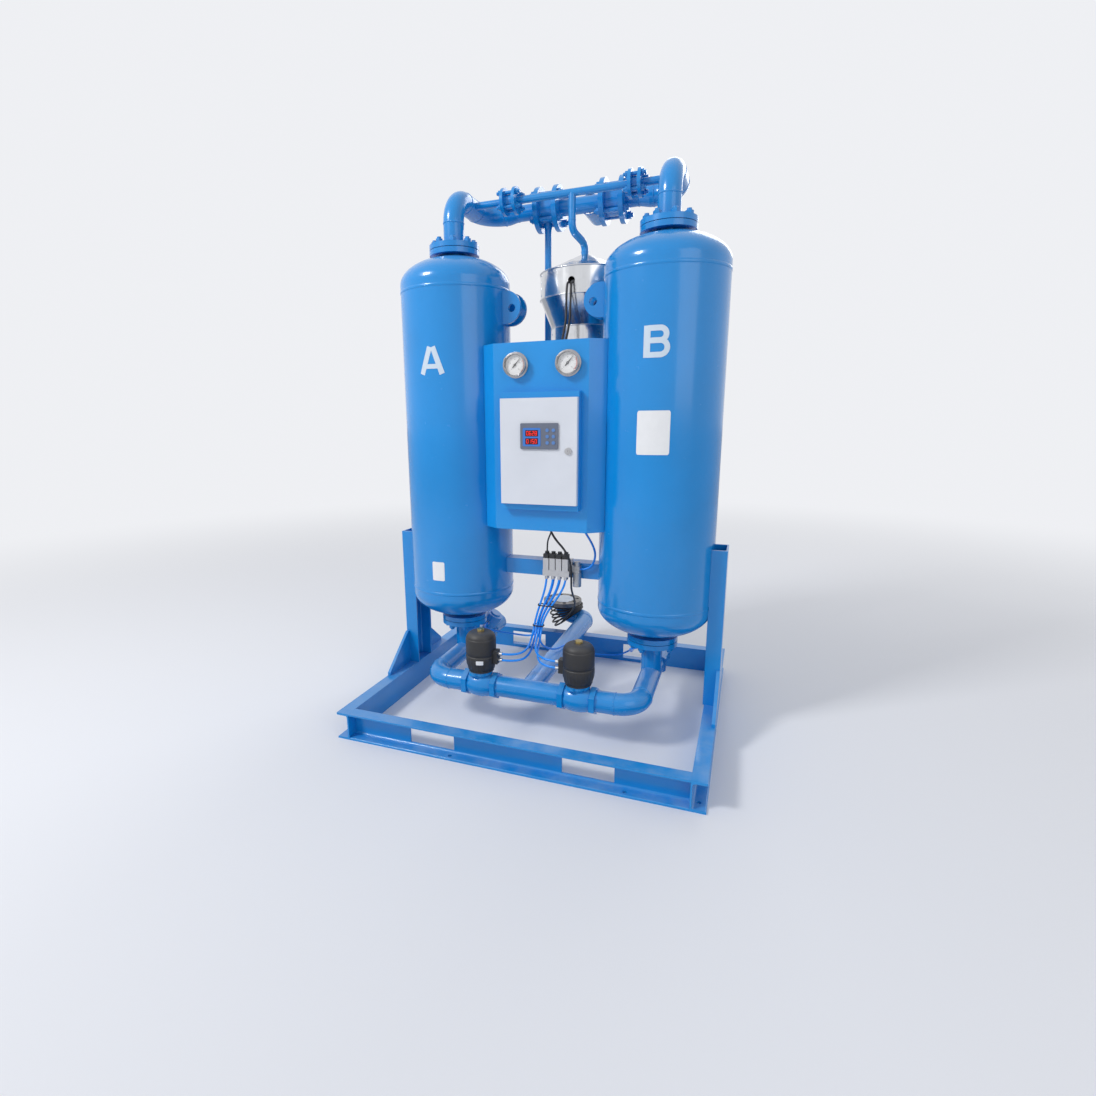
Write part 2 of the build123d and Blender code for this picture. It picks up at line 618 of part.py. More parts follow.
# Heater
with BuildPart() as heater_vessel:
    with BuildSketch(Plane((HEATER_X, HEATER_Y, 0), x_dir=(1, 0, 0), z_dir=(0, -1, 0))):
        with BuildLine():
            Polyline(
                (DN20 - 2.6, 826),
                (DN20, 826),
                (DN20, 880),
                (84, 900),
                (84, 1640),
                (DN20, 1690),
                (DN20, 1722),
                (DN20 - 2.6, 1722),
                (DN20 - 2.6, 1688),
                (79, 1636),
                (79, 904),
                (DN20 - 2.6, 884),
                close=True,
            )
        make_face()
    revolve(axis=Axis((HEATER_X, HEATER_Y, 0), (0, 0, 1)))

with BuildPart() as heater_jacket:
    with BuildSketch(Plane((HEATER_X, HEATER_Y, 0), x_dir=(1, 0, 0), z_dir=(0, -1, 0))):
        with BuildLine():
            Polyline(
                (DN20, 850),
                (124, 850),
                (124, 1463),
                (167, 1567),
                (167, 1660),
                (DN20 + 4, 1727),
                (DN20, 1727),
                (DN20, 1722),
                (164.5, 1657.5),
                (164.5, 1568),
                (121.5, 1464),
                (121.5, 852.5),
                (DN20, 852.5),
                close=True,
            )
        make_face()
    revolve(axis=Axis((HEATER_X, HEATER_Y, 0), (0, 0, 1)))
    with Locations(Location((HEATER_X - 5, HEATER_Y - 190, 1610), ALONG_Y)):
        Cylinder(13, 60, align=LOW, mode=Mode.SUBTRACT)

# Cross rails behind the panel
with BuildPart() as cross_rails:
    with Locations((0, 40, 900), (0, 40, 1262)):
        Box(400, 40, 40)
        Box(400, 34, 34, mode=Mode.SUBTRACT)
    with Locations((HEATER_X, 82, 900), (HEATER_X, 82, 1262)):
        Box(90, 44, 40)
    for x in (-70, 70):
        with Locations((x, BOX_BACK + 2, 865)):
            Box(40, 4, 70, align=LOW)
        with Locations((x, BOX_BACK + 2, 1100)):
            Box(40, 4, 162, align=LOW)
        with Locations((x, 0, 898), (x, 0, 1260)):
            Box(40, 42, 4, align=LOW)
    with Locations((TOWER_X, TOWER_Y, 850), (-TOWER_X, TOWER_Y, 850)):
        Cylinder(TOWER_RADIUS, 500, align=LOW, mode=Mode.SUBTRACT)
    with Locations((HEATER_X, HEATER_Y, 850)):
        Cylinder(124, 500, align=LOW, mode=Mode.SUBTRACT)

# Panel cover
EDGE_X = PANEL_HALF + 54
EDGE_Y = PANEL_FRONT + 40


def cover_outline(inset, back):
    """Half-hexagon of the folded cover, moved inward by the sheet's thickness."""
    lean = inset * 0.42
    return [
        (-PANEL_HALF + lean, PANEL_FRONT + inset),
        (PANEL_HALF - lean, PANEL_FRONT + inset),
        (EDGE_X - lean - 2 * back, EDGE_Y + inset),
        (-EDGE_X + lean + 2 * back, EDGE_Y + inset),
    ]


with BuildPart() as panel_cover:
    with BuildSketch(Plane.XY.offset(PANEL_BOTTOM)):
        with BuildLine():
            Polyline(*cover_outline(0, 0), close=True)
        make_face()
    extrude(amount=PANEL_TOP - PANEL_BOTTOM)
    with BuildSketch(Plane.XY.offset(PANEL_BOTTOM + SHEET)):
        with BuildLine():
            Polyline(*cover_outline(SHEET, 0), close=True)
        make_face()
    extrude(amount=PANEL_TOP - PANEL_BOTTOM - 2 * SHEET, mode=Mode.SUBTRACT)
    with Locations((BOX_X, PANEL_FRONT, (BOX_BOTTOM + BOX_TOP) / 2)):
        Box(2 * BOX_HALF, 20, BOX_TOP - BOX_BOTTOM, mode=Mode.SUBTRACT)
    for x in GAUGES:
        with Locations(Location((x, PANEL_FRONT - 5, GAUGE_Z), ALONG_Y)):
            Cylinder(34, 10, align=LOW, mode=Mode.SUBTRACT)
    with Locations((TOWER_X, TOWER_Y, 700), (-TOWER_X, TOWER_Y, 700)):
        Cylinder(TOWER_RADIUS, 700, align=LOW, mode=Mode.SUBTRACT)

# Control box
BOX_HEIGHT = BOX_TOP - BOX_BOTTOM
BOX_DEPTH = BOX_BACK - BOX_FRONT
with BuildPart() as control_box:
    with Locations((BOX_X, BOX_FRONT + BOX_DEPTH / 2, BOX_BOTTOM)):
        Box(2 * BOX_HALF, BOX_DEPTH, BOX_HEIGHT, align=LOW)
    with Locations((BOX_X, BOX_FRONT + BOX_DEPTH / 2, BOX_BOTTOM + SHEET)):
        Box(
            2 * BOX_HALF - 2 * SHEET, BOX_DEPTH - 2 * SHEET, BOX_HEIGHT - 2 * SHEET, align=LOW, mode=Mode.SUBTRACT
        )
    with Locations((BOX_X, BOX_FRONT, DOOR_BOTTOM + 14)):
        Box(2 * DOOR_HALF - 28, 20, DOOR_TOP - DOOR_BOTTOM - 28, align=LOW, mode=Mode.SUBTRACT)
    with Locations((CABLE_SLOT[0], CABLE_SLOT[1], BOX_BOTTOM)):
        Box(44, 20, 10, mode=Mode.SUBTRACT)
    with Locations((43, -60, BOX_TOP - 4), (57, -60, BOX_TOP - 4)):
        Cylinder(5, 8, align=LOW, mode=Mode.SUBTRACT)

with BuildPart() as mounting_plate:
    with Locations((BOX_X, BOX_BACK - 6, 840)):
        Box(240, 2, 346, align=LOW)
    for x in (BOX_X - 100, BOX_X + 100):
        for z in (860, 1166):
            with Locations(Location((x, BOX_BACK - 5, z), ALONG_Y)):
                Cylinder(6, 3, align=LOW)

with BuildPart() as switchgear:
    for x, z, wide, high, deep in (
        (-75, 1085, 46, 78, 80),
        (-22, 1085, 46, 78, 80),
        (32, 1085, 36, 82, 66),
        (76, 1085, 36, 82, 66),
        (-40, 960, 120, 80, 52),
    ):
        with Locations((BOX_X + x, BOX_BACK - 7 - deep / 2, z)):
            Box(wide, deep, high, align=LOW)
    with Locations((BOX_X, BOX_BACK - 11, 872)):
        Box(216, 8, 35, align=LOW)
    for n in range(14):
        with Locations((BOX_X - 97.5 + n * 15, BOX_BACK - 34, 866)):
            Box(13.5, 38, 46, align=LOW)

DOOR_BACK = BOX_FRONT - 0.5
DOOR_FACE = DOOR_BACK - DOOR_THICK
with BuildPart() as control_door:
    with Locations((BOX_X, DOOR_BACK - DOOR_THICK / 2, DOOR_BOTTOM)):
        Box(2 * DOOR_HALF, DOOR_THICK, DOOR_TOP - DOOR_BOTTOM, align=LOW)
    fillet(control_door.edges().filter_by(Axis.Z).group_by(Axis.Y)[0], 3.0)
    with Locations((BOX_X, DOOR_BACK - DOOR_THICK / 2 + SHEET, DOOR_BOTTOM + SHEET)):
        Box(
            2 * DOOR_HALF - 2 * SHEET,
            DOOR_THICK,
            DOOR_TOP - DOOR_BOTTOM - 2 * SHEET,
            align=LOW,
            mode=Mode.SUBTRACT,
        )
    with Locations(Location((LOCK_X, DOOR_FACE - 5, LOCK_Z), ALONG_Y)):
        Cylinder(9, 20, align=LOW, mode=Mode.SUBTRACT)
    with Locations((CONTROLLER_X, DOOR_FACE, CONTROLLER_Z)):
        Box(116, 20, 74, mode=Mode.SUBTRACT)

HINGE_LEVELS = (872.0, 1110.0)
with BuildPart() as box_hinges:
    for level in HINGE_LEVELS:
        with Locations((BOX_X - BOX_HALF - 1, BOX_FRONT + 16, level)):
            Box(2, 26, 48, align=LOW)
        for offset in (0, 33):
            with Locations((HINGE_X, HINGE_Y, level + offset)):
                Cylinder(4, 15, align=LOW)
            with Locations((HINGE_X + 3, HINGE_Y + 3.5, level + offset)):
                Box(4, 3, 15, align=LOW)
        with Locations((HINGE_X, HINGE_Y, level)):
            Cylinder(2.0, 48, align=LOW)

with BuildPart() as door_hinges:
    for level in HINGE_LEVELS:
        with Locations((HINGE_X, HINGE_Y, level + 15.25)):
            Cylinder(4, 17.5, align=LOW)
        with Locations((HINGE_X + 4.5, HINGE_Y - 8, level + 15.25)):
            Box(3, 14, 17.5, align=LOW)
        with Locations((HINGE_X, HINGE_Y, level + 15.25)):
            Cylinder(2.06, 17.5, align=LOW, mode=Mode.SUBTRACT)

with BuildPart() as lock_sleeve:
    with Locations(Location((LOCK_X, DOOR_FACE - 5, LOCK_Z), ALONG_Y)):
        Cylinder(12, 5, align=LOW)
        Cylinder(9, 22, align=LOW)
        Cylinder(6.05, 24, align=LOW, mode=Mode.SUBTRACT)

with BuildPart() as lock_core:
    with Locations(Location((LOCK_X, DOOR_FACE - 6.5, LOCK_Z), ALONG_Y)):
        Cylinder(6, 36, align=LOW)
    with Locations((LOCK_X, DOOR_FACE - 6.5, LOCK_Z)):
        Box(1.2, 6, 7, mode=Mode.SUBTRACT)
    with Locations((LOCK_X, DOOR_FACE + 26, LOCK_Z - 24)):
        Box(12, 4, 30, align=LOW)

with BuildPart() as controller:
    with Locations((CONTROLLER_X, DOOR_FACE - 3, CONTROLLER_Z)):
        Box(135, 6, 88)
    fillet(controller.edges().filter_by(Axis.Y), 4)
    with Locations((CONTROLLER_X, DOOR_FACE + 20, CONTROLLER_Z)):
        Box(115.9, 40, 73.9)

with BuildPart() as controller_keys:
    for column in range(2):
        for row in range(3):
            key_x = CONTROLLER_X + 30 + 22 * column
            key_z = CONTROLLER_Z + 20 - 21 * row
            with Locations(Location((key_x, DOOR_FACE - 8, key_z), ALONG_Y)):
                Cylinder(6, 2, align=LOW)

# Gauges
GAUGE_FACE = PANEL_FRONT - 24
with BuildPart() as gauge_cases:
    for x in GAUGES:
        with BuildSketch(Plane((x, 0, GAUGE_Z), x_dir=(1, 0, 0), z_dir=(0, 0, 1))):
            with BuildLine():
                Polyline(
                    (0, PANEL_FRONT + 14),
                    (33.9, PANEL_FRONT + 14),
                    (33.9, PANEL_FRONT),
                    (44, PANEL_FRONT),
                    (44, PANEL_FRONT - 4),
                    (38, PANEL_FRONT - 6),
                    (38, GAUGE_FACE + 8),
                    (41, GAUGE_FACE + 6),
                    (41, GAUGE_FACE),
                    (36, GAUGE_FACE - 1),
                    (34, GAUGE_FACE + 3),
                    (34, GAUGE_FACE + 12),
                    (0, GAUGE_FACE + 12),
                    close=True,
                )
            make_face()
        revolve(axis=Axis((x, 0, GAUGE_Z), (0, 1, 0)))

with BuildPart() as gauge_dials:
    for x in GAUGES:
        with Locations(Location((x, GAUGE_FACE + 10.8, GAUGE_Z), ALONG_Y)):
            Cylinder(33.9, 1.2, align=LOW)
        with Locations(Location((x, GAUGE_FACE + 6, GAUGE_Z), ALONG_Y)):
            Cylinder(1.0, 5, align=LOW)

pointers = {}
for name, x in zip(("a", "b"), GAUGES):
    with BuildPart() as pointer:
        with BuildSketch(Plane((x, GAUGE_FACE + 9.2, GAUGE_Z), x_dir=(1, 0, 0), z_dir=(0, -1, 0))):
            Circle(4)
            with BuildLine():
                Polyline((-1.2, -13), (1.2, -13), (1.6, 0), (0.4, 28), (-0.4, 28), (-1.6, 0), close=True)
            make_face()
            Circle(1.05, mode=Mode.SUBTRACT)
        extrude(amount=1.2)
    pointers[name] = pointer.part.rotate(Axis((x, 0, GAUGE_Z), (0, 1, 0)), 42)

with BuildPart() as gauge_lenses:
    for x in GAUGES:
        with Locations(Location((x, GAUGE_FACE + 3.2, GAUGE_Z), ALONG_Y)):
            Cylinder(34, 2, align=LOW)

# Pilot valves
PILOT_X = (-5.0, 20.0, 45.0, 70.0)
with BuildPart() as pilot_valves:
    with Locations((32.5, -25, 545)):
        Box(112, 20, 60, align=LOW)
    with Locations((32.5, -48, 540)):
        Box(104, 30, 24, align=LOW)
    for x in PILOT_X:
        with Locations((x, -52, 564)):
            Box(22, 34, 46, align=LOW)
        for y in (-58, -44):
            with Locations((x, y, 528)):
                Cylinder(6.4, 12, align=LOW)
                Cylinder(4.05, 12, align=LOW, mode=Mode.SUBTRACT)

with BuildPart() as pilot_coils:
    for x in PILOT_X:
        with Locations((x, -54, 610)):
            Box(20, 30, 16, align=LOW)
        with Locations((x, -50, 626)):
            Cylinder(8, 8, align=LOW)

with BuildPart() as filter_regulator:
    with Locations((104, -30, 556)):
        Box(31, 30, 24, align=LOW)
    with Locations((108, -32, 500)):
        Cylinder(16, 56, align=LOW)
    with Locations((108, -32, 580)):
        Cylinder(11, 16, align=LOW)

# Air tubes
TUBE = 4.0
tube_routes = {
    "left upper": [
        (-5, -58, 536), (-5, -58, 500), (-34, -99, 388), (-44, -110, 312), (-22, -240, 298),
        (-62, MANIFOLD_Y, 294), (-106, MANIFOLD_Y, 294),
    ],
    "left lower": [
        (20, -58, 536), (20, -58, 500), (-24, -99, 388), (-34, -110, 306), (-14, -240, 276),
        (-58, MANIFOLD_Y, 270), (-106, MANIFOLD_Y, 270),
    ],
    "right upper": [
        (45, -58, 536), (45, -58, 500), (-14, -99, 388), (-24, -110, 312), (6, -236, 300),
        (56, MANIFOLD_Y, 294), (106, MANIFOLD_Y, 294),
    ],
    "right lower": [
        (70, -58, 536), (70, -58, 500), (-4, -99, 388), (-14, -110, 306), (14, -236, 276),
        (56, MANIFOLD_Y, 270), (106, MANIFOLD_Y, 270),
    ],
    "exhaust a": [
        (20, -44, 536), (20, -44, 498), (-24, -89, 388), (-34, -98, 318), (-90, -10, 268), (-190, 74, 236),
        (-262, 74, 238), (-342.6, 74, 244.5), (-342.6, 152, 244.5),
    ],
    "exhaust b": [
        (45, -44, 536), (45, -44, 498), (-14, -89, 388), (-24, -98, 318), (-20, -80, 262), (10, 0, 216),
        (40, 110, 214), (60, 300, 140), (66, 440, 40), (110, 494, 22), (180, 494, 30), (260, 400, 110),
        (290, 150, 190), (294, 74, 234), (342.6, 74, 244.5), (342.6, 152, 244.5),
    ],
    "supply": [
        (119.5, -32, 568), (146, -32, 568), (174, -32, 596), (178, -32, 650), (120, -40, 740), (112, -44, 770),
        (112, -44, 810),
    ],
}
with BuildPart() as air_tubes:
    total = 0.0
    for name, points in tube_routes.items():
        radii = bend_radii(points, 90)
        length = rod(points, radii, TUBE)
        total += length * math.pi * TUBE**2
        print("tube", name, "length", round(length), "radii", [round(r) for r in radii])
print("tubes volume", round(air_tubes.part.volume), "section times length", round(total))

with BuildPart() as cable_ties:
    for x, y, z, wide in ((-0.5, -78.5, 426, 61), (-24, -99, 350, 42)):
        with BuildSketch(Plane((x, y, z))):
            RectangleRounded(wide + 3, 27, 12)
            RectangleRounded(wide, 24, 11, mode=Mode.SUBTRACT)
        extrude(amount=4)

# Black cables
cable_routes = {
    "coils": (3.0, [(36, -100, 826), (36, -100, 740), (14, -80, 700), (-5, -50, 668), (-5, -50, 634)]),
    "power": (
        4.0,
        [
            (16, -100, 826), (16, -100, 740), (36, -94, 694), (78, -80, 644), (96, -72, 590), (92, -56, 520),
            (66, 40, 460), (30, 240, 350), (-20, 390, 262), (-84, 430, 188), (-99.4, 452, 166.7), (-99.4, 492.9, 166.7),
        ],
    ),
    "heater left": (
        4.0,
        [
            (HEATER_X - 12, 76, 1610), (HEATER_X - 12, 34, 1606), (HEATER_X - 14, 26, 1560),
            (HEATER_X - 12, 20, 1460), (43, -60, 1360), (43, -60, 1208),
        ],
    ),
    "heater right": (
        4.0,
        [
            (HEATER_X + 2, 76, 1610), (HEATER_X + 2, 34, 1606), (HEATER_X + 2, 26, 1560),
            (HEATER_X + 2, 20, 1460), (57, -60, 1360), (57, -60, 1208),
        ],
    ),
}
with BuildPart() as cables:
    total = 0.0
    for name, (radius, points) in cable_routes.items():
        radii = bend_radii(points, 60)
        length = rod(points, radii, radius)
        total += length * math.pi * radius**2
        print("cable", name, "length", round(length), "radii", [round(r) for r in radii])
print("cables volume", round(cables.part.volume), "section times length", round(total))

COIL_TILT = math.radians(36)
COIL_AXIS = Vector(-math.sin(COIL_TILT), 0, math.cos(COIL_TILT))
with BuildPart() as power_coil:
    for shift, radius in ((0, 81), (7.8, 81), (15.6, 81), (3.9, 87.9), (11.7, 87.9)):
        middle = Vector(-97, INLET_Y, 165.0) + COIL_AXIS * shift
        with Locations(Plane(middle, x_dir=(0, 1, 0), z_dir=COIL_AXIS).location):
            Torus(radius, 4)

pieces = {
    "front_beam": front_beam.part,
    "rear_beam": rear_beam.part,
    "side_beams": side_beams.part,
    "posts": posts.part,
    "gussets": gussets.part,
    "tie_bar": tie_bar.part,
    "tower_a_shell": tower_a_shell.part,
    "tower_b_shell": tower_b_shell.part,
    "desiccant_beds": desiccant_beds.part,
    "bed_screens": bed_screens.part,
    "lifting_lugs": lifting_lugs.part,
    "vessel_flanges": vessel_flanges.part,
    "pipe_flanges": pipe_flanges.part,
    "flange_gaskets": flange_gaskets.part,
    "flange_bolts": flange_bolts.part,
    "header_studs": header_studs.part,
    "lower_left_pipe": lower_left_pipe.part,
    "lower_right_pipe": lower_right_pipe.part,
    "inlet_pipe": inlet_pipe.part,
    "union_nuts": union_nuts.part,
    "inlet_valve_bodies": inlet_valve_bodies.part,
    "inlet_actuators": inlet_actuators.part,
    "actuator_fittings": actuator_fittings.part,
    "indicator_a": indicators["a"],
    "indicator_b": indicators["b"],
    "exhaust_valve_bodies": exhaust_valve_bodies.part,
    "exhaust_actuators": exhaust_actuators.part,
    "silencers": silencers.part,
    "header_a": headers["a"],
    "header_b": headers["b"],
    "header_middle": header_middle.part,
    "check_valves": check_valves.part,
    "purge_pipes": purge_pipes.part,
    "dry_air_feed": dry_air_feed.part,
    "heater_vessel": heater_vessel.part,
    "heater_jacket": heater_jacket.part,
    "cross_rails": cross_rails.part,
    "panel_cover": panel_cover.part,
    "control_box": control_box.part,
    "mounting_plate": mounting_plate.part,
    "switchgear": switchgear.part,
    "control_door": control_door.part,
    "box_hinges": box_hinges.part,
    "door_hinges": door_hinges.part,
    "lock_sleeve": lock_sleeve.part,
    "lock_core": lock_core.part,
    "controller": controller.part,
    "controller_keys": controller_keys.part,
    "gauge_cases": gauge_cases.part,
    "gauge_dials": gauge_dials.part,
    "pointer_a": pointers["a"],
    "pointer_b": pointers["b"],
    "gauge_lenses": gauge_lenses.part,
    "pilot_valves": pilot_valves.part,
    "pilot_coils": pilot_coils.part,
    "filter_regulator": filter_regulator.part,
    "air_tubes": air_tubes.part,
    "cable_ties": cable_ties.part,
    "cables": cables.part,
    "power_coil": power_coil.part,
}
for name, piece in pieces.items():
    piece.label = name
    export_step(piece, "parts/" + name + ".step")
print(len(pieces), "nodes")
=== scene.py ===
import json
import math

import bmesh
import bpy
import numpy as np
from bpy.props import FloatProperty, FloatVectorProperty, IntProperty, PointerProperty
from mathutils import Matrix, Vector


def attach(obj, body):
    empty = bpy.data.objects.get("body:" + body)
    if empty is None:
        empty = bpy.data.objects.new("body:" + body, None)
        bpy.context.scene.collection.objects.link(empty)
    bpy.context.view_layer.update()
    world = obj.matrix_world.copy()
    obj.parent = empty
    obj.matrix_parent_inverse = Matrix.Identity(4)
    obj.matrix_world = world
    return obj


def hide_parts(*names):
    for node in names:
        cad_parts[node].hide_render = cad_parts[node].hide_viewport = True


bl_info = {
    "name": "Twin-tower air dryer",
    "version": (1, 0, 0),
    "blender": (4, 5, 0),
    "location": "View3D > Sidebar > Air dryer",
    "description": "Finishes, marks, tubes, cables and stage of a twin-tower air dryer",
    "category": "Object",
}

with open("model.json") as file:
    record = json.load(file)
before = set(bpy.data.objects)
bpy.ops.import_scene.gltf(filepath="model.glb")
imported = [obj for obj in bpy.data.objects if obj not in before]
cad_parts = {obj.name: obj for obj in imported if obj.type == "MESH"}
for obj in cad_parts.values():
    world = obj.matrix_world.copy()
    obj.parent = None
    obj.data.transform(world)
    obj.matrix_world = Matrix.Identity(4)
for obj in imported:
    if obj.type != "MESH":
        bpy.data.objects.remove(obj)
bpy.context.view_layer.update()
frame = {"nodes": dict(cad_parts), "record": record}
NODES = frame["nodes"]
MM = 0.001

TOWERS = {"a": -390.0, "b": 390.0}
TOWER_Y = 15.0
TOWER_RADIUS = 206.0
PIPE = 38.05
SMALL_PIPE = 13.45
MANIFOLD_Y = -285.0
MANIFOLD_Z = 168.0
HEADER_Y = 310.0
HEADER_Z = 1928.0
ACTUATOR_X = (-184.0, 184.0)
ACTUATOR_Z = 224.0
GAUGES = {"left": -86.0, "right": 102.0}
GAUGE_Z = 1308.0
DIAL_Y = -163.2
DOOR_FACE = -198.5
CONTROLLER = (14.0, 1068.0)
HEATER = (55.0, 225.0)
INLET = (-128.0, 585.0, 250.0)
COIL_TURNS = 6
COIL_RIGHT = -31.5
TO_FRONT = (0, -1, 0)

# dials: first angle, sweep, number of ticks, radii of ticks and numbers, section of a bezel clip
DIAL_START = -135
DIAL_SWEEP = 270
DIAL_TICKS = 40
TICK_RADIUS = 29.5
NUMBER_RADIUS = 19
CLIP_SECTION = np.array([(38.4, -172.0), (41.7, -171.0), (41.9, -175.2), (37.0, -176.0)])

# actuator skirt and cap: radius and height over the actuator's foot
SKIRT = [(47, 8), (49.2, 8.5), (50.6, 20), (53.8, 29), (55.2, 42), (55.4, 58), (54.6, 62), (52, 62.5)]
CAP = [(52, 66), (55.0, 66.5), (55.4, 72), (55.3, 121), (53.5, 127), (51, 128)]

# heater jacket: radius, level and roll of its edges; radius, lowest, highest and number of its rivets
JACKET_EDGES = (
    (124.0, 1463, 1.8), (167.0, 1567, 2.2), (167.0, 1660, 2.4), (124.0, 856, 2.0), (124.0, 1160, 1.6),
)
RIVET_ROWS = ((167.0, 1580, 1650, 4), (124.0, 880, 1440, 12))

CAMERA = {
    "place": (691.4, -2228.3, 1140.7),
    "yaw": 21.59,
    "pitch": 12.43,
    "roll": -0.78,
    "focus": 615.2,
    "centre": (506.7, 550.5),
    "frame": 1096.0,
}


class DryerLook(bpy.types.PropertyGroup):
    """Colours and small sizes that change the dryer's look."""

    paint: FloatVectorProperty(
        name="Paint", description="Blue of the frame, pipes and towers", subtype="COLOR", size=3,
        min=0, max=1, default=(0.000, 0.262, 0.690),
    )
    panel: FloatVectorProperty(
        name="Panel paint", description="Blue of the folded cover and the control box", subtype="COLOR",
        size=3, min=0, max=1, default=(0.001, 0.285, 0.740),
    )
    door: FloatVectorProperty(
        name="Door", description="Near-white of the control box door", subtype="COLOR", size=3,
        min=0, max=1, default=(0.74, 0.77, 0.83),
    )
    tube: FloatVectorProperty(
        name="Air tube", description="Bright blue of the air tubes", subtype="COLOR", size=3,
        min=0, max=1, default=(0.000, 0.26, 0.86),
    )
    mark: FloatVectorProperty(
        name="Tower letter", description="Pale grey of the tower letters", subtype="COLOR", size=3,
        min=0, max=1, default=(0.62, 0.72, 0.82),
    )
    floor: FloatVectorProperty(
        name="Floor", description="Pale floor and surroundings", subtype="COLOR", size=3,
        min=0, max=1, default=(0.80, 0.81, 0.84),
    )
    backdrop: FloatVectorProperty(
        name="Backdrop", description="Pale grey behind the dryer", subtype="COLOR", size=3,
        min=0, max=1, default=(0.86, 0.87, 0.90),
    )
    bead: FloatProperty(
        name="Weld bead", description="Half width of the weld beads on the pipes", subtype="DISTANCE",
        unit="LENGTH", min=0.001, max=0.006, default=0.0026,
    )
    ribs: IntProperty(
        name="Actuator ribs", description="Upright ribs round each actuator", min=8, max=60, default=26,
    )


def look():
    """The scene's own set of sizes and colours."""
    return bpy.context.scene.dryer_look


class Level:
    """Wraps a node's output, so that sums on it add Math nodes."""

    def __init__(self, finish, socket):
        self.finish = finish
        self.socket = socket

    def maths(self, operation, *others):
        node = self.finish.add("ShaderNodeMath", {"operation": operation}, dict(enumerate((self, *others))))
        return node.level()

    def __add__(self, other):
        return self.maths("ADD", other)

    def __rsub__(self, other):
        return self.finish.add("ShaderNodeMath", {"operation": "SUBTRACT"}, {0: other, 1: self}).level()

    def __mul__(self, other):
        return self.maths("MULTIPLY", other)

    def __pow__(self, other):
        return self.maths("POWER", other)

    def __gt__(self, other):
        return self.maths("GREATER_THAN", other)

    def __lt__(self, other):
        return self.maths("LESS_THAN", other)

    __radd__ = __add__
    __rmul__ = __mul__

    def step(self, low, high):
        """Runs smoothly from 0 at low to 1 at high."""
        node = self.finish.add(
            "ShaderNodeMapRange",
            {"interpolation_type": "SMOOTHSTEP"},
            {"Value": self, "From Min": low, "From Max": high},
        )
        return node.level()


class Piece:
    """A shader node whose outputs are read as levels."""

    def __init__(self, finish, node):
        self.finish = finish
        self.node = node

    def level(self, name=0):
        return Level(self.finish, self.node.outputs[name])


class Finish:
    """A material, built from a few kinds of node round one Principled shader."""

    def __init__(self, name):
        self.material = bpy.data.materials.new(name)
        self.material.use_nodes = True
        self.tree = self.material.node_tree
        self.shader = self.tree.nodes["Principled BSDF"]
        coordinates = self.tree.nodes.new("ShaderNodeTexCoord")
        self.place = Level(self, coordinates.outputs["Object"])
        split = self.add("ShaderNodeSeparateXYZ", {}, {0: self.place})
        self.x, self.y, self.z = (split.level(axis) for axis in "XYZ")

    def add(self, kind, settings, sockets):
        """Adds a node, sets it up first, then gives its sockets values or links."""
        node = self.tree.nodes.new(kind)
        for key, value in settings.items():
            if key == "stops":
                ramp = node.color_ramp
                while len(ramp.elements) < len(value):
                    ramp.elements.new(0.5)
                for element, (position, colour) in zip(ramp.elements, value):
                    element.position = position
                    element.color = (*colour, 1)
            else:
                setattr(node, key, value)
        for key, value in sockets.items():
            self.feed(node.inputs[key], value)
        return Piece(self, node)

    def feed(self, target, value):
        if isinstance(value, Level):
            self.tree.links.new(value.socket, target)
        elif hasattr(value, "__len__") and len(value) == 3 and len(target.default_value) == 4:
            target.default_value = (*value, 1)
        else:
            target.default_value = value

    def noise(self, scale, detail=3.0, rough=0.5, stretch=(1, 1, 1)):
        """Cloudy pattern from 0 to 1, whose grains are 1/scale metres wide, on stretched coordinates."""
        where = self.add("ShaderNodeMapping", {}, {"Vector": self.place, "Scale": stretch}).level()
        node = self.add(
            "ShaderNodeTexNoise", {}, {"Vector": where, "Scale": scale, "Detail": detail, "Roughness": rough}
        )
        return node.level("Fac")

    def facing_up(self):
        """1 where the surface faces upwards, falling to 0 on walls."""
        normal = self.add("ShaderNodeNewGeometry", {}, {}).level("Normal")
        return self.add("ShaderNodeSeparateXYZ", {}, {0: normal}).level("Z")

    def blend(self, amount, first, second):
        """Mixes two colours; amount 0 gives the first."""
        node = self.add("ShaderNodeMix", {"data_type": "RGBA"}, {"Factor": amount})
        sockets = [s for s in node.node.inputs if s.type == "RGBA"]
        self.feed(sockets[0], first)
        self.feed(sockets[1], second)
        return Level(self, [s for s in node.node.outputs if s.type == "RGBA"][0])

    def relief(self, height, strength, distance, rounding=None):
        """Bump from a height, on edges rounded by a small radius where one is given."""
        sockets = {"Height": height, "Strength": strength, "Distance": distance}
        if rounding:
            edge = self.add("ShaderNodeBevel", {"samples": 4}, {"Radius": rounding})
            sockets["Normal"] = edge.level("Normal")
        return self.add("ShaderNodeBump", {}, sockets).level("Normal")

    def surface(self, **sockets):
        """Sets the shader's sockets; spaces in their names are written as underscores."""
        for name, value in sockets.items():
            self.feed(self.shader.inputs[name.replace("_", " ")], value)
        return self.material


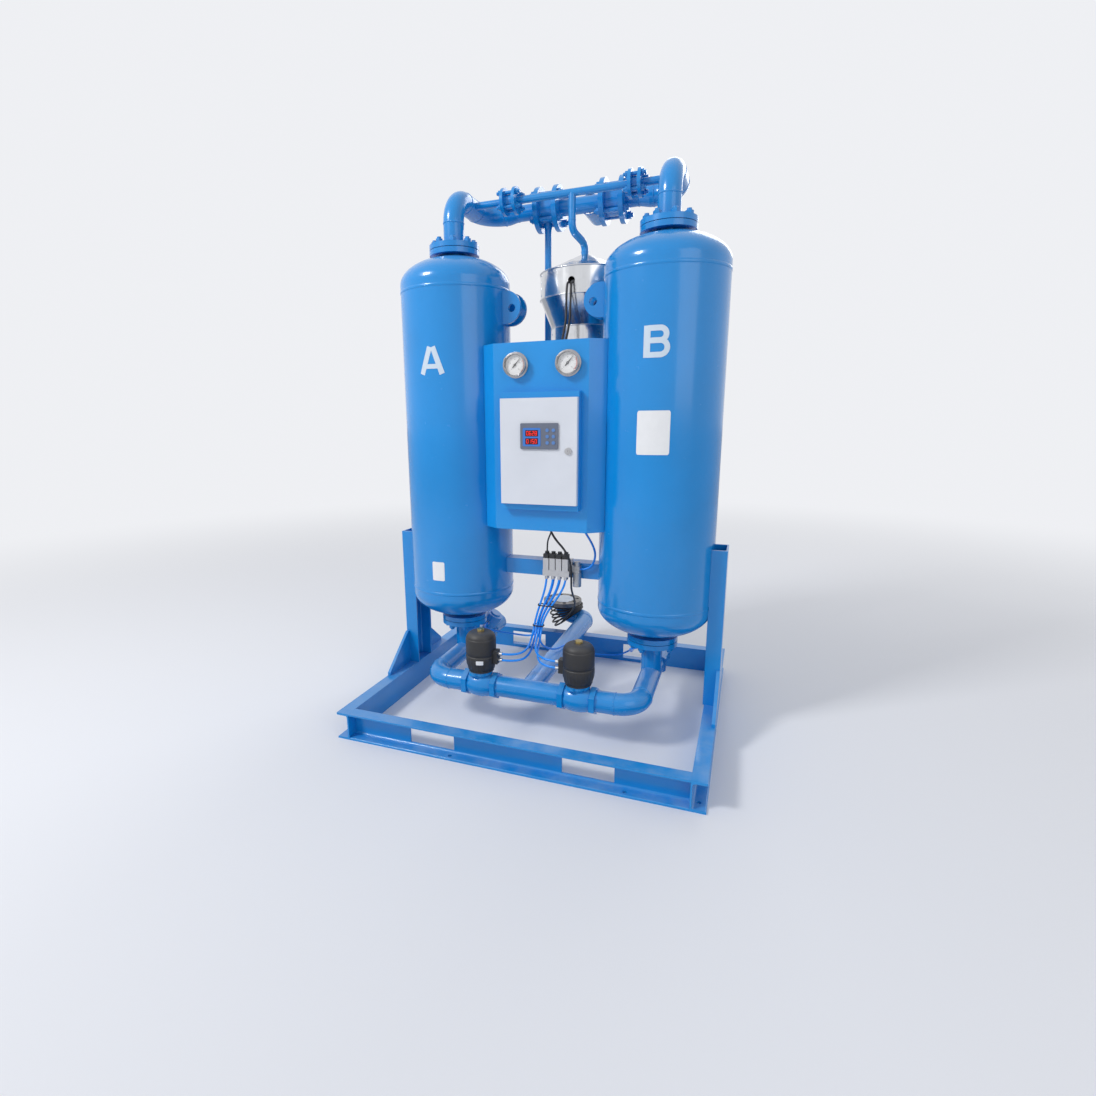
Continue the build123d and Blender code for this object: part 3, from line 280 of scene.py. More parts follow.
def gloss_paint(name, colour, rough=0.24, dust=0.16):
    """Sprayed gloss enamel: faint colour drift, orange peel, dust on ledges and rubbed patches."""
    f = Finish(name)
    colour = tuple(colour)
    deep = tuple(c * 0.80 for c in colour)
    pale = tuple(min(1.0, c * 1.10 + 0.004) for c in colour)
    drift = f.noise(2.6, 4.0, 0.55)
    scuffs = f.noise(34.0, 6.0, 0.7).step(0.60, 0.78)
    specks = f.noise(150.0, 2.0, 0.6).step(0.66, 0.74)
    ledge = f.facing_up().step(0.55, 0.98) * f.noise(11.0, 5.0, 0.65).step(0.30, 0.75)
    body = f.blend(drift, deep, pale)
    body = f.blend(ledge * dust, body, (0.62, 0.64, 0.66))
    body = f.blend(specks * ledge * 0.35, body, (0.35, 0.33, 0.30))
    peel = f.noise(420.0, 2.0, 0.4) * 0.6 + f.noise(28.0, 3.0, 0.5) * 0.7
    return f.surface(
        Base_Color=body,
        Roughness=rough + scuffs * 0.12 + ledge * (dust * 1.6) + drift * 0.05,
        Coat_Weight=0.45,
        Coat_Roughness=0.10,
        IOR=1.48,
        Normal=f.relief(peel, 0.10, 0.0012, 0.0016),
    )


def flange_paint(name, colour):
    """The pipes' enamel, with the bare dark steel of the open inlet flange at the back."""
    f = Finish(name)
    colour = tuple(colour)
    bare = (f.y > 0.480) * (f.z < 0.262)
    drift = f.noise(3.0, 4.0, 0.55)
    grime = f.noise(46.0, 6.0, 0.7)
    paint = f.blend(drift, tuple(c * 0.8 for c in colour), tuple(c * 1.1 for c in colour))
    steel = f.blend(grime.step(0.35, 0.7), (0.16, 0.155, 0.15), (0.30, 0.29, 0.28))
    ring = f.noise(300.0, 2.0, 0.5) * 0.5 + grime
    return f.surface(
        Base_Color=f.blend(bare, paint, steel),
        Roughness=0.26 + grime * 0.08 + bare * 0.16,
        Metallic=bare * 0.85,
        Coat_Weight=(1 - bare) * 0.4,
        Coat_Roughness=0.10,
        Normal=f.relief(ring, 0.12, 0.0010, 0.0014),
    )


def stainless_sheet(name):
    """Thin polished cladding: long brushing, shallow dents and dull finger marks."""
    f = Finish(name)
    brushed = f.noise(90.0, 4.0, 0.6, (1.0, 1.0, 0.03))
    dents = f.noise(7.0, 2.0, 0.4, (1.0, 1.0, 0.35))
    marks = f.noise(24.0, 6.0, 0.7).step(0.52, 0.72)
    shade = f.blend(brushed, (0.62, 0.63, 0.65), (0.80, 0.81, 0.82))
    return f.surface(
        Base_Color=f.blend(marks * 0.35, shade, (0.48, 0.48, 0.49)),
        Metallic=1.0,
        Roughness=0.13 + brushed * 0.10 + marks * 0.12,
        Normal=f.relief(dents * 1.4 + brushed * 0.05, 0.55, 0.012),
    )


def turned_metal(name, colour, rough, metallic=1.0):
    """Plated or turned metal with fine scratches and dull spots."""
    f = Finish(name)
    scratches = f.noise(260.0, 3.0, 0.6, (1.0, 1.0, 0.2))
    spots = f.noise(60.0, 5.0, 0.7).step(0.55, 0.75)
    dark = tuple(c * 0.55 for c in colour)
    return f.surface(
        Base_Color=f.blend(spots * 0.5, colour, dark),
        Metallic=metallic,
        Roughness=rough + scratches * 0.14 + spots * 0.15,
        Normal=f.relief(scratches, 0.10, 0.0008, 0.0006),
    )


def moulded_plastic(name, colour, rough, grain=320.0):
    """Spark-eroded plastic: fine grain, pale dust, and random paler patches that are partly wear and partly a
    painted sheen.
    """
    f = Finish(name)
    texture = f.noise(grain, 3.0, 0.6)
    dust = f.facing_up().step(0.3, 0.95) * f.noise(26.0, 5.0, 0.65)
    wear_and_sheen = f.noise(14.0, 4.0, 0.6)
    # paler patches: partly wear, partly a painted sheen in the base colour
    body = f.blend(wear_and_sheen, tuple(c * 0.85 for c in colour), tuple(c * 1.25 + 0.002 for c in colour))
    return f.surface(
        Base_Color=f.blend(dust * 0.20, body, (0.42, 0.41, 0.40)),
        Roughness=rough + texture * 0.12 + dust * 0.10,
        Normal=f.relief(texture, 0.22, 0.0007, 0.0010),
    )


def printed(name, colour, rough=0.45):
    """Ink or vinyl: one colour with a slightly uneven edge to its gloss."""
    f = Finish(name)
    fade = f.noise(40.0, 4.0, 0.6)
    return f.surface(
        Base_Color=f.blend(
            fade, tuple(c * 0.93 for c in colour), tuple(min(1, c * 1.03) for c in colour)
        ),
        Roughness=rough + fade * 0.08,
    )


def lit_digits(name, colour, strength):
    """Glowing segments behind a window."""
    f = Finish(name)
    return f.surface(Base_Color=colour, Roughness=0.3, Emission_Color=colour, Emission_Strength=strength)


def clear_lens(name):
    """Thin gauge glass: almost all see-through, with a sharp reflection."""
    f = Finish(name)
    haze = f.noise(30.0, 4.0, 0.6)
    f.surface(Base_Color=(0.93, 0.95, 0.96), Alpha=0.02 + haze * 0.02, Roughness=0.04, IOR=1.5)
    return f.material


def bead_packing(name):
    """Loose round desiccant beads, seen only where a bed is cut open, with painted shade darkening each bead
    towards its rim.
    """
    f = Finish(name)
    cells = f.add("ShaderNodeTexVoronoi", {}, {"Vector": f.place, "Scale": 240.0})
    # painted shade: pale at each bead's middle, darker towards its rim and in the gaps between beads
    body = f.blend(cells.level("Distance"), (0.86, 0.85, 0.82), (0.62, 0.60, 0.57))
    return f.surface(Base_Color=body, Roughness=0.75, Normal=f.relief(cells.level("Distance"), 0.6, 0.003))


def vinyl_sheath(name, colour, rough):
    """Cable or tube sheath: a faint drawn grain and rubbed, dusty stretches."""
    f = Finish(name)
    rubbed = f.noise(18.0, 5.0, 0.65)
    grain = f.noise(500.0, 2.0, 0.5)
    pale = tuple(min(1.0, c * 1.15 + 0.012) for c in colour)
    return f.surface(
        Base_Color=f.blend(rubbed, colour, pale),
        Roughness=rough + rubbed * 0.14,
        Normal=f.relief(grain, 0.12, 0.0004),
    )


def crumpled_film(name):
    """Pale protective film."""
    f = Finish(name)
    cloudy = f.noise(60.0, 4.0, 0.6)
    return f.surface(
        Base_Color=f.blend(cloudy, (0.62, 0.70, 0.78), (0.86, 0.90, 0.94)),
        Roughness=0.28 + cloudy * 0.2,
        Normal=f.relief(cloudy, 0.4, 0.004),
    )


def studio_floor(colour, backdrop):
    """Matt floor that fades into the backdrop's colour with distance from the dryer, for the camera only."""
    f = Finish("pale_floor")
    far = ((f.x * f.x + f.y * f.y) ** 0.5).step(1.3, 6.5)
    camera = f.add("ShaderNodeLightPath", {}, {}).level("Is Camera Ray")
    glow = f.add("ShaderNodeEmission", {}, {"Color": tuple(backdrop), "Strength": 1.0})
    f.surface(Base_Color=tuple(colour), Roughness=0.85)
    both = f.add("ShaderNodeMixShader", {}, {"Fac": far * camera})
    link = f.tree.links.new
    link(f.shader.outputs["BSDF"], both.node.inputs[1])
    link(glow.node.outputs["Emission"], both.node.inputs[2])
    link(both.node.outputs["Shader"], f.tree.nodes["Material Output"].inputs["Surface"])
    return f.material


FINISHES = {}


def finish_of(slot):
    """Material of a record slot, made when it is first asked for."""
    if slot in FINISHES:
        return FINISHES[slot]
    p = look()
    makers = {
        "skid_paint": lambda: gloss_paint("skid_enamel", p.paint, 0.26, 0.22),
        "tower_paint": lambda: gloss_paint("tower_enamel", p.paint, 0.20, 0.10),
        "pipe_paint": lambda: gloss_paint("pipe_enamel", p.paint, 0.24, 0.18),
        "panel_paint": lambda: gloss_paint("panel_enamel", p.panel, 0.30, 0.10),
        "door_paint": lambda: gloss_paint("door_enamel", p.door, 0.34, 0.06),
        "stainless": lambda: turned_metal("gauge_steel", (0.42, 0.42, 0.43), 0.14),
        "cladding": lambda: stainless_sheet("heater_cladding"),
        "nickel": lambda: turned_metal("nickel_plate", (0.58, 0.58, 0.59), 0.26),
        "brass": lambda: turned_metal("brass_cap", (0.66, 0.50, 0.20), 0.28),
        "gasket": lambda: moulded_plastic("gasket_sheet", (0.02, 0.02, 0.02), 0.7),
        "desiccant": lambda: bead_packing("desiccant_beads"),
        "black_plastic": lambda: moulded_plastic("black_housing", (0.022, 0.022, 0.024), 0.42),
        "switchgear": lambda: moulded_plastic("grey_switchgear", (0.24, 0.25, 0.26), 0.5),
        "controller_case": lambda: moulded_plastic("controller_plate", (0.13, 0.15, 0.20), 0.42),
        "controller_keys": lambda: moulded_plastic("controller_key", (0.10, 0.22, 0.50), 0.5),
        "dial_white": lambda: printed("dial_enamel", (0.84, 0.84, 0.83)),
        "pointer_black": lambda: printed("pointer_ink", (0.02, 0.02, 0.02)),
        "lens": lambda: clear_lens("gauge_glass"),
        "blue_tube": lambda: vinyl_sheath("air_tube", tuple(p.tube), 0.22),
        "tie_black": lambda: moulded_plastic("cable_tie", (0.02, 0.02, 0.02), 0.5),
        "cable_black": lambda: vinyl_sheath("cable_sheath", (0.014, 0.014, 0.015), 0.42),
        "tower_letter": lambda: printed("tower_letter", tuple(p.mark), 0.4),
        "plain_label": lambda: printed("plain_label", (0.84, 0.85, 0.86), 0.35),
        "scale_ink": lambda: printed("scale_ink", (0.02, 0.02, 0.025)),
        "scale_red": lambda: printed("scale_red", (0.62, 0.03, 0.03)),
        "display_glass": lambda: printed("display_window", (0.055, 0.004, 0.005), 0.16),
        "display_red": lambda: lit_digits("display_digit", (0.85, 0.02, 0.02), 0.9),
        "display_field": lambda: printed("display_field", (0.05, 0.20, 0.62), 0.3),
        "inlet_film": lambda: crumpled_film("inlet_film"),
    }
    FINISHES[slot] = makers[slot]()
    return FINISHES[slot]


def grid_faces(rows, columns, close_rows=False, close_columns=False):
    """Four-sided faces between neighbours of a grid, row by row."""
    r = np.arange(rows if close_rows else rows - 1)
    c = np.arange(columns if close_columns else columns - 1)
    a, b = np.meshgrid(r, c, indexing="ij")
    a2, b2 = (a + 1) % rows, (b + 1) % columns
    quads = np.stack([a * columns + b, a2 * columns + b, a2 * columns + b2, a * columns + b2], -1)
    return quads.reshape(-1, 4)


def joined(parts):
    """Several (points, faces) made one."""
    points, faces, start = [], [], 0
    for p, f in parts:
        p = np.asarray(p, float).reshape(-1, 3)
        points.append(p)
        faces.extend([[int(i) + start for i in face] for face in f])
        start += len(p)
    return np.concatenate(points), faces


def put(name, points, faces, slot, body, smooth=True, outward=None, thick=0.0):
    """Makes a mesh from points in millimetres and hangs it on a body."""
    mesh = bpy.data.meshes.new(name)
    metres = np.asarray(points, float).reshape(-1, 3) * MM
    mesh.from_pydata(metres.tolist(), [], [list(map(int, f)) for f in faces])
    work = bmesh.new()
    work.from_mesh(mesh)
    bmesh.ops.remove_doubles(work, verts=work.verts, dist=1e-7)
    bmesh.ops.recalc_face_normals(work, faces=work.faces)
    if outward is not None:
        total = sum((f.normal * f.calc_area() for f in work.faces), Vector())
        if total.dot(Vector(outward)) < 0:
            bmesh.ops.reverse_faces(work, faces=work.faces)
    work.to_mesh(mesh)
    work.free()
    mesh.polygons.foreach_set("use_smooth", [smooth] * len(mesh.polygons))
    piece = bpy.data.objects.new(name, mesh)
    bpy.context.scene.collection.objects.link(piece)
    piece.data.materials.append(finish_of(slot))
    if thick:
        wall = piece.modifiers.new("thickness", "SOLIDIFY")
        wall.thickness = thick * MM
        wall.offset = 1.0
    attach(piece, body)
    return piece


def stroke(path, width, across=4):
    """Flat band along a path: each point is pushed sideways by its normal, from -1/2 to 1/2 width."""
    path = np.asarray(path, float)
    run = np.gradient(path, axis=0)
    run /= np.linalg.norm(run, axis=1)[:, None]
    side = np.stack([-run[:, 1], run[:, 0]], 1)
    offsets = np.linspace(-width / 2, width / 2, across + 1)
    return path[:, None, :] + side[:, None, :] * offsets[None, :, None], grid_faces(len(path), across + 1)


def line(start, end, count=12):
    """Straight run of points in the plane."""
    t = np.linspace(0, 1, count)[:, None]
    return np.asarray(start, float) * (1 - t) + np.asarray(end, float) * t


def bowl(left, right, low, high, count=40):
    """Path of a letter's bowl: across the bottom, round a half circle and back along the top."""
    radius = (high - low) / 2
    turn = np.linspace(-math.pi / 2, math.pi / 2, count)
    arc = np.stack([right - radius + radius * np.cos(turn), low + radius + radius * np.sin(turn)], 1)
    return np.concatenate([line((left, low), arc[0], 8)[:-1], arc, line(arc[-1], (left, high), 8)[1:]])


def on_tower(flat, tower_x, middle_angle, middle_z, proud):
    """Wraps flat millimetres round a tower: across becomes an angle, up stays up."""
    flat = np.asarray(flat, float).reshape(-1, 2)
    radius = TOWER_RADIUS + proud
    angle = middle_angle + flat[:, 0] / radius
    return np.stack(
        [tower_x + radius * np.sin(angle), TOWER_Y - radius * np.cos(angle), middle_z + flat[:, 1]], 1
    )


def rounded_patch(width, height, corner, rows=24, columns=24):
    """Rectangle whose grid is pulled in at the corners by the circle's own sagitta."""
    u = np.linspace(-1, 1, columns)[None, :] * np.ones((rows, 1))
    v = np.linspace(-1, 1, rows)[:, None] * np.ones((1, columns))
    reach = np.clip((np.abs(v) * height / 2 - (height / 2 - corner)) / corner, 0, 1)
    half = width / 2 - corner * (1 - np.sqrt(1 - reach**2))
    return np.stack([u * half, v * height / 2], -1), grid_faces(rows, columns)


def upright(flat, x, y, z):
    """Stands a flat shape up, facing -Y, with its middle at a point."""
    flat = np.asarray(flat, float).reshape(-1, 2)
    return np.stack([x + flat[:, 0], np.full(len(flat), float(y)), z + flat[:, 1]], 1)


def ring_frame(axis):
    """Two directions square to an axis."""
    axis = np.asarray(axis, float) / np.linalg.norm(axis)
    helper = np.array([0, 0, 1.0]) if abs(axis[2]) < 0.9 else np.array([1.0, 0, 0])
    first = np.cross(axis, helper)
    first /= np.linalg.norm(first)
    return axis, first, np.cross(axis, first)


def weld_ring(centre, axis, radius, bead, ripples):
    """Torus whose small radius swells and shrinks round the pipe like laid weld ripples."""
    axis, first, second = ring_frame(axis)
    a = np.linspace(0, 2 * math.pi, 4 * ripples, endpoint=False)[:, None]
    b = np.linspace(0, 2 * math.pi, 8, endpoint=False)[None, :]
    swell = bead * (0.86 + 0.16 * np.sin(ripples * a) + 0.07 * np.sin(5 * a + 1.3))
    out = radius - 0.3 * bead + swell * np.cos(b)
    along = 1.25 * swell * np.sin(b) + 0.35 * bead * np.sin(3 * a)
    points = (
        np.asarray(centre, float)
        + (out * np.cos(a))[..., None] * first
        + (out * np.sin(a))[..., None] * second
        + along[..., None] * axis
    )
    return points, grid_faces(len(a), b.shape[1], True, True)


def cable_turn(middle, axis, radius, thick, start):
    """Torus whose centre line wanders a millimetre out and along its axis, as loose cable does."""
    axis, first, second = ring_frame(axis)
    a = np.linspace(0, 2 * math.pi, 120, endpoint=False)[:, None]
    b = np.linspace(0, 2 * math.pi, 14, endpoint=False)[None, :]
    out = radius + 0.9 * np.sin(3 * a + start) + thick * np.cos(b)
    along = 0.9 * np.sin(2 * a + 2 * start) + thick * np.sin(b)
    points = (
        np.asarray(middle, float)
        + (out * np.cos(a))[..., None] * first
        + (out * np.sin(a))[..., None] * second
        + along[..., None] * axis
    )
    return points, grid_faces(120, 14, True, True)


def turned_shape(centre, profile, segments, wave=None):
    """Profile of (radius, height) turned about an upright axis, its radius changed by wave(angle, share)."""
    profile = np.asarray(profile, float)
    a = np.linspace(0, 2 * math.pi, segments, endpoint=False)[None, :]
    radius = profile[:, :1] * np.ones_like(a)
    height = profile[:, 1:2] * np.ones_like(a)
    if wave is not None:
        radius = radius + wave(a, np.arange(len(profile))[:, None] / (len(profile) - 1))
    points = np.stack(
        [centre[0] + radius * np.cos(a), centre[1] + radius * np.sin(a), centre[2] + height], -1
    )
    return points, grid_faces(len(profile), segments, False, True)


def lettering(text, size, place):
    """Flat type centred on a point of an upright face that looks towards -Y."""
    curve = bpy.data.curves.new("type", "FONT")
    curve.body = text
    curve.size = size
    curve.align_x = "CENTER"
    curve.align_y = "CENTER"
    curve.resolution_u = 4
    holder = bpy.data.objects.new("type", curve)
    bpy.context.scene.collection.objects.link(holder)
    bpy.context.view_layer.update()
    mesh = bpy.data.meshes.new_from_object(holder)
    flat = np.array([v.co for v in mesh.vertices], float).reshape(-1, 3)
    faces = [list(p.vertices) for p in mesh.polygons]
    bpy.data.objects.remove(holder)
    bpy.data.curves.remove(curve)
    bpy.data.meshes.remove(mesh)
    return upright(flat[:, :2], *place), faces


def card(x, y, z, width, height):
    """Upright rectangle that looks towards -Y."""
    w, h = width / 2, height / 2
    return [(x - w, y, z - h), (x + w, y, z - h), (x + w, y, z + h), (x - w, y, z + h)], [(0, 1, 2, 3)]


SLOT_CHANGES = {
    "filter_regulator": lambda: turned_metal("filter_casting", (0.46, 0.47, 0.48), 0.40, 0.6),
    "silencers": lambda: finish_of("pipe_paint"),
    "pipe_flanges": lambda: flange_paint("flange_enamel", look().paint),
}


class DRYER_OT_finishes(bpy.types.Operator):
    """Give every CAD piece its finish"""

    bl_idname = "dryer.finishes"
    bl_label = "Finishes"

    def execute(self, context):
        for entry in frame["record"]["subparts"]:
            node = NODES[entry["node"]]
            if entry["node"] in SLOT_CHANGES:
                material = SLOT_CHANGES[entry["node"]]()
            else:
                material = finish_of(entry["material_slot"])
            if not node.material_slots:
                node.data.materials.append(material)
            for place in node.material_slots:
                place.material = material
        return {"FINISHED"}


class DRYER_OT_tower_marks(bpy.types.Operator):
    """Put the letter on each tower and the plain labels below"""

    bl_idname = "dryer.tower_marks"
    bl_label = "Tower letters and labels"

    def execute(self, context):
        letter_a = [
            stroke(line((-40, -47), (-6, 47), 24), 20),
            stroke(line((40, -47), (6, 47), 24), 20),
            stroke(line((-26, -20), (26, -20), 20), 16),
        ]
        letter_b = [
            stroke(line((-31, -48), (-31, 48), 24), 21),
            stroke(bowl(-28, 28, 3, 40), 17),
            stroke(bowl(-28, 32, -40, 3), 17),
        ]
        for name, strokes, angle, z in (("a", letter_a, -0.02, 1334), ("b", letter_b, 0.03, 1358)):
            parts = [
                (on_tower(points, TOWERS[name], angle, z, 0.5 + 0.06 * n), faces)
                for n, (points, faces) in enumerate(strokes)
            ]
            points, faces = joined(parts)
            put("tower_letter_" + name, points, faces, "tower_letter", "dryer",
                outward=TO_FRONT)
        for name, tower, angle, z, wide, high in (
            ("label_a", "a", -0.04, 556, 52, 74),
            ("label_b", "b", 0.02, 1078, 106, 140),
        ):
            flat, faces = rounded_patch(wide, high, 4)
            points = on_tower(flat, TOWERS[tower], angle, z, 0.5)
            put(name, points, faces, "plain_label", "dryer", outward=TO_FRONT)
        return {"FINISHED"}


def tick(x, n):
    """Bar of a dial's scale: a rectangle along the ray at tick n's angle, longer and wider at every fifth."""
    a = math.radians(DIAL_START + DIAL_SWEEP * n / DIAL_TICKS)
    long, wide = (5.2, 0.62) if n % 5 == 0 else (2.8, 0.30)
    direction = np.array([math.sin(a), math.cos(a)])
    across = np.array([direction[1], -direction[0]]) * wide / 2
    inner = TICK_RADIUS - long
    corners = (
        direction * TICK_RADIUS - across, direction * TICK_RADIUS + across,
        direction * inner + across, direction * inner - across,
    )
    return [(x + c[0], DIAL_Y - 0.08, GAUGE_Z + c[1]) for c in corners], [(0, 1, 2, 3)]


def dial_number(x, n):
    """Number of the scale, upright, on a smaller circle inside the ticks."""
    a = math.radians(DIAL_START + DIAL_SWEEP * n / 4)
    place = (x + NUMBER_RADIUS * math.sin(a), DIAL_Y - 0.08, GAUGE_Z + NUMBER_RADIUS * math.cos(a) - 0.6)
    return lettering(str(n * 4), 5.6, place)


def bezel_clip(x, degrees):
    """Four-sided section carried along a short arc round the bezel and closed at both ends."""
    a = math.radians(degrees)
    t = np.linspace(a - 0.11, a + 0.11, 10)[:, None]
    r = CLIP_SECTION[None, :, 0] * np.ones_like(t)
    depth = CLIP_SECTION[None, :, 1] * np.ones_like(t)
    points = np.stack([x + r * np.sin(t), depth, GAUGE_Z + r * np.cos(t)], -1)
    return points, [*grid_faces(10, 4, False, True).tolist(), (0, 1, 2, 3), (36, 37, 38, 39)]


class DRYER_OT_gauge_scales(bpy.types.Operator):
    """Draw the gauges' scales and clamp their bezels"""

    bl_idname = "dryer.gauge_scales"
    bl_label = "Gauge scales"

    def execute(self, context):
        for side, x in GAUGES.items():
            ink = [tick(x, n) for n in range(DIAL_TICKS + 1)] + [dial_number(x, n) for n in range(5)]
            points, faces = joined(ink)
            put("scale_" + side, points, faces, "scale_ink", "dryer", False, TO_FRONT)
            rim = np.radians(np.linspace(60, 135, 40))
            flat, faces = stroke(np.stack([31.2 * np.sin(rim), 31.2 * np.cos(rim)], 1), 1.8, 2)
            points = upright(flat, x, DIAL_Y - 0.10, GAUGE_Z)
            put("scale_limit_" + side, points, faces, "scale_red", "dryer", False, TO_FRONT)
            points, faces = joined([bezel_clip(x, degrees) for degrees in (-60, 60, 180)])
            put("bezel_clips_" + side, points, faces, "stainless", "dryer", False)
        return {"FINISHED"}


SEGMENTS = {"0": "abcdef", "1": "bc", "2": "abged", "5": "afgcd", "6": "afgedc", "8": "abcdefg"}


def digit(text, x, z, height):
    """Seven bars of one lit digit."""
    w, h, t = height * 0.46, height / 2, height * 0.11
    bars = {
        "a": (0, h, w, t), "g": (0, 0, w, t), "d": (0, -h, w, t),
        "f": (-w / 2, h / 2, t, h), "b": (w / 2, h / 2, t, h),
        "e": (-w / 2, -h / 2, t, h), "c": (w / 2, -h / 2, t, h),
    }
    return [
        card(x + right, DOOR_FACE - 7.4, z + up, wide, high)
        for right, up, wide, high in (bars[s] for s in SEGMENTS[text])
    ]


class DRYER_OT_controller_face(bpy.types.Operator):
    """Add the controller's display field, windows and lit digits"""

    bl_idname = "dryer.controller_face"
    bl_label = "Controller face"

    def execute(self, context):
        x, z = CONTROLLER
        front = DOOR_FACE - 6
        flat, faces = rounded_patch(64, 62, 3)
        points = upright(flat, x - 26, front - 0.4, z - 3)
        put("display_field", points, faces, "display_field", "door", False, TO_FRONT, 0.3)
        points, faces = joined([card(x - 26, front - 0.9, z - 3 + up, 46, 21) for up in (13, -14)])
        put("display_windows", points, faces, "display_glass", "door", False,
            TO_FRONT, 0.3)
        digits = []
        for row, text in ((13, "0628"), (-14, "0150")):
            for n, letter in enumerate(text):
                digits += digit(letter, x - 41 + 10 * n, z - 3 + row, 13)
        points, faces = joined(digits)
        put("display_digits", points, faces, "display_red", "door", False, TO_FRONT)
        return {"FINISHED"}


class DRYER_OT_weld_beads(bpy.types.Operator):
    """Lay weld beads where bends and flanges meet the pipes"""

    bl_idname = "dryer.weld_beads"
    bl_label = "Weld beads"

    def execute(self, context):
        bead = look().bead / MM
        rings = []
        for side in (-1, 1):
            x = side * 390
            rings += [
                ((side * 314, MANIFOLD_Y, MANIFOLD_Z), (1, 0, 0), PIPE),
                ((x, -209, MANIFOLD_Z), (0, 1, 0), PIPE),
                ((x, TOWER_Y, 292.5), (0, 0, 1), PIPE),
                ((x, TOWER_Y, 1757.5), (0, 0, 1), PIPE),
                ((x, TOWER_Y, 1833), (0, 0, 1), PIPE),
                ((x, 110, HEADER_Z), (0, 1, 0), PIPE),
                ((x, 215, HEADER_Z), (0, 1, 0), PIPE),
                ((side * 295, HEADER_Y, HEADER_Z), (1, 0, 0), PIPE),
                ((side * 240, HEADER_Y, HEADER_Z), (1, 0, 0), 30.15),
            ]
        rings += [
            ((0, 521.5, MANIFOLD_Z), (0, 1, 0), PIPE),
            ((INLET[0], INLET[1], 230.5), (0, 0, 1), PIPE),
            ((-117, HEADER_Y, 818), (0, 0, 1), SMALL_PIPE),
            ((25, 150, 1800 + 34), (0, 0, 1), SMALL_PIPE),
            ((HEATER[0], HEATER[1], 1738), (0, 0, 1), SMALL_PIPE),
        ]
        parts = [
            weld_ring(centre, axis, radius, bead if radius > 20 else bead * 0.6, 44 if radius > 20 else 20)
            for centre, axis, radius in rings
        ]
        points, faces = joined(parts)
        put("weld_beads", points, faces, "pipe_paint", "dryer")
        return {"FINISHED"}


class DRYER_OT_actuator_sleeves(bpy.types.Operator):
    """Add the ribbed skirt and the plain cap of each black actuator"""

    bl_idname = "dryer.actuator_sleeves"
    bl_label = "Actuator sleeves"

    def execute(self, context):
        # ribs: the positive half of a sine round the skirt, fading to nothing at its top and bottom
        count = look().ribs
        for side, x in zip(("left", "right"), ACTUATOR_X):
            foot = (x, MANIFOLD_Y, ACTUATOR_Z)
            skirt = turned_shape(
                foot, SKIRT, 6 * count,
                lambda a, t: 0.9 * np.maximum(0, np.sin(count * a)) * np.sin(math.pi * t),
            )
            points, faces = joined([skirt, turned_shape(foot, CAP, 96)])
            put("actuator_sleeve_" + side, points, faces, "black_plastic", "dryer")
        flat, faces = rounded_patch(27, 15, 2)
        flat = flat.reshape(-1, 2)
        around, reach = 0.30 + flat[:, 0] / 56, 56
        points = np.stack([
            ACTUATOR_X[0] + reach * np.sin(around), MANIFOLD_Y - reach * np.cos(around),
            ACTUATOR_Z + 45 + flat[:, 1],
        ], 1)
        put("actuator_label", points, faces, "plain_label", "dryer",
            outward=TO_FRONT, thick=0.3)
        return {"FINISHED"}


class DRYER_OT_inlet_film(bpy.types.Operator):
    """Lay the pale film over the open inlet flange"""

    bl_idname = "dryer.inlet_film"
    bl_label = "Inlet film"

    def execute(self, context):
        # disc whose edge wavers round the circle, raised by two crossing sets of folds that die at the rim
        r = np.linspace(0, 1, 30)[:, None]
        a = np.linspace(0, 2 * math.pi, 90, endpoint=False)[None, :]
        edge = 58 + 2.5 * np.sin(5 * a + 0.4) + 1.6 * np.sin(11 * a)
        fold = np.abs(np.sin(6 * a + 9 * r)) * 1.6 + np.abs(np.sin(4 * r * 3 + 3 * a)) * 1.2
        height = INLET[2] + 0.6 + fold * (1 - r**6) * r
        points = np.stack([
            INLET[0] + r * edge * np.cos(a), INLET[1] + r * edge * np.sin(a), height * np.ones_like(a)
        ], -1)
        put("inlet_film", points, grid_faces(30, 90, False, True), "inlet_film", "dryer",
            outward=(0, 0, 1), thick=0.2)
        return {"FINISHED"}


class DRYER_OT_jacket_trim(bpy.types.Operator):
    """Add the cladding's overlaps, rolled edges and rivets"""

    bl_idname = "dryer.jacket_trim"
    bl_label = "Heater jacket trim"

    def execute(self, context):
        # rolled edge: a circle of the bulge's radius carried round the jacket
        # rivet: a flattened half dome on the jacket's wall
        parts = []
        for radius, z, bulge in JACKET_EDGES:
            t = np.linspace(0, 2 * math.pi, 12, endpoint=False)
            profile = np.stack([radius + bulge * 0.4 + bulge * np.cos(t), bulge * np.sin(t)], 1)
            a = np.linspace(0, 2 * math.pi, 120, endpoint=False)[:, None]
            points = np.stack([
                HEATER[0] + profile[None, :, 0] * np.cos(a),
                HEATER[1] + profile[None, :, 0] * np.sin(a),
                z + profile[None, :, 1] * np.ones_like(a),
            ], -1)
            parts.append((points, grid_faces(120, 12, True, True)))
        for radius, low, high, count in RIVET_ROWS:
            for z in np.linspace(low, high, count):
                h = np.linspace(0, math.pi / 2, 6)[:, None]
                b = np.linspace(0, 2 * math.pi, 14, endpoint=False)[None, :]
                reach = 3.0 * np.cos(h)
                around = -1.05 + reach * np.cos(b) / radius
                out = radius + 1.6 * np.sin(h)
                points = np.stack([
                    HEATER[0] + out * np.sin(around), HEATER[1] - out * np.cos(around), z + reach * np.sin(b)
                ], -1)
                parts.append((points, grid_faces(6, 14, False, True)))
        points, faces = joined(parts)
        put("jacket_trim", points, faces, "cladding", "dryer")
        return {"FINISHED"}


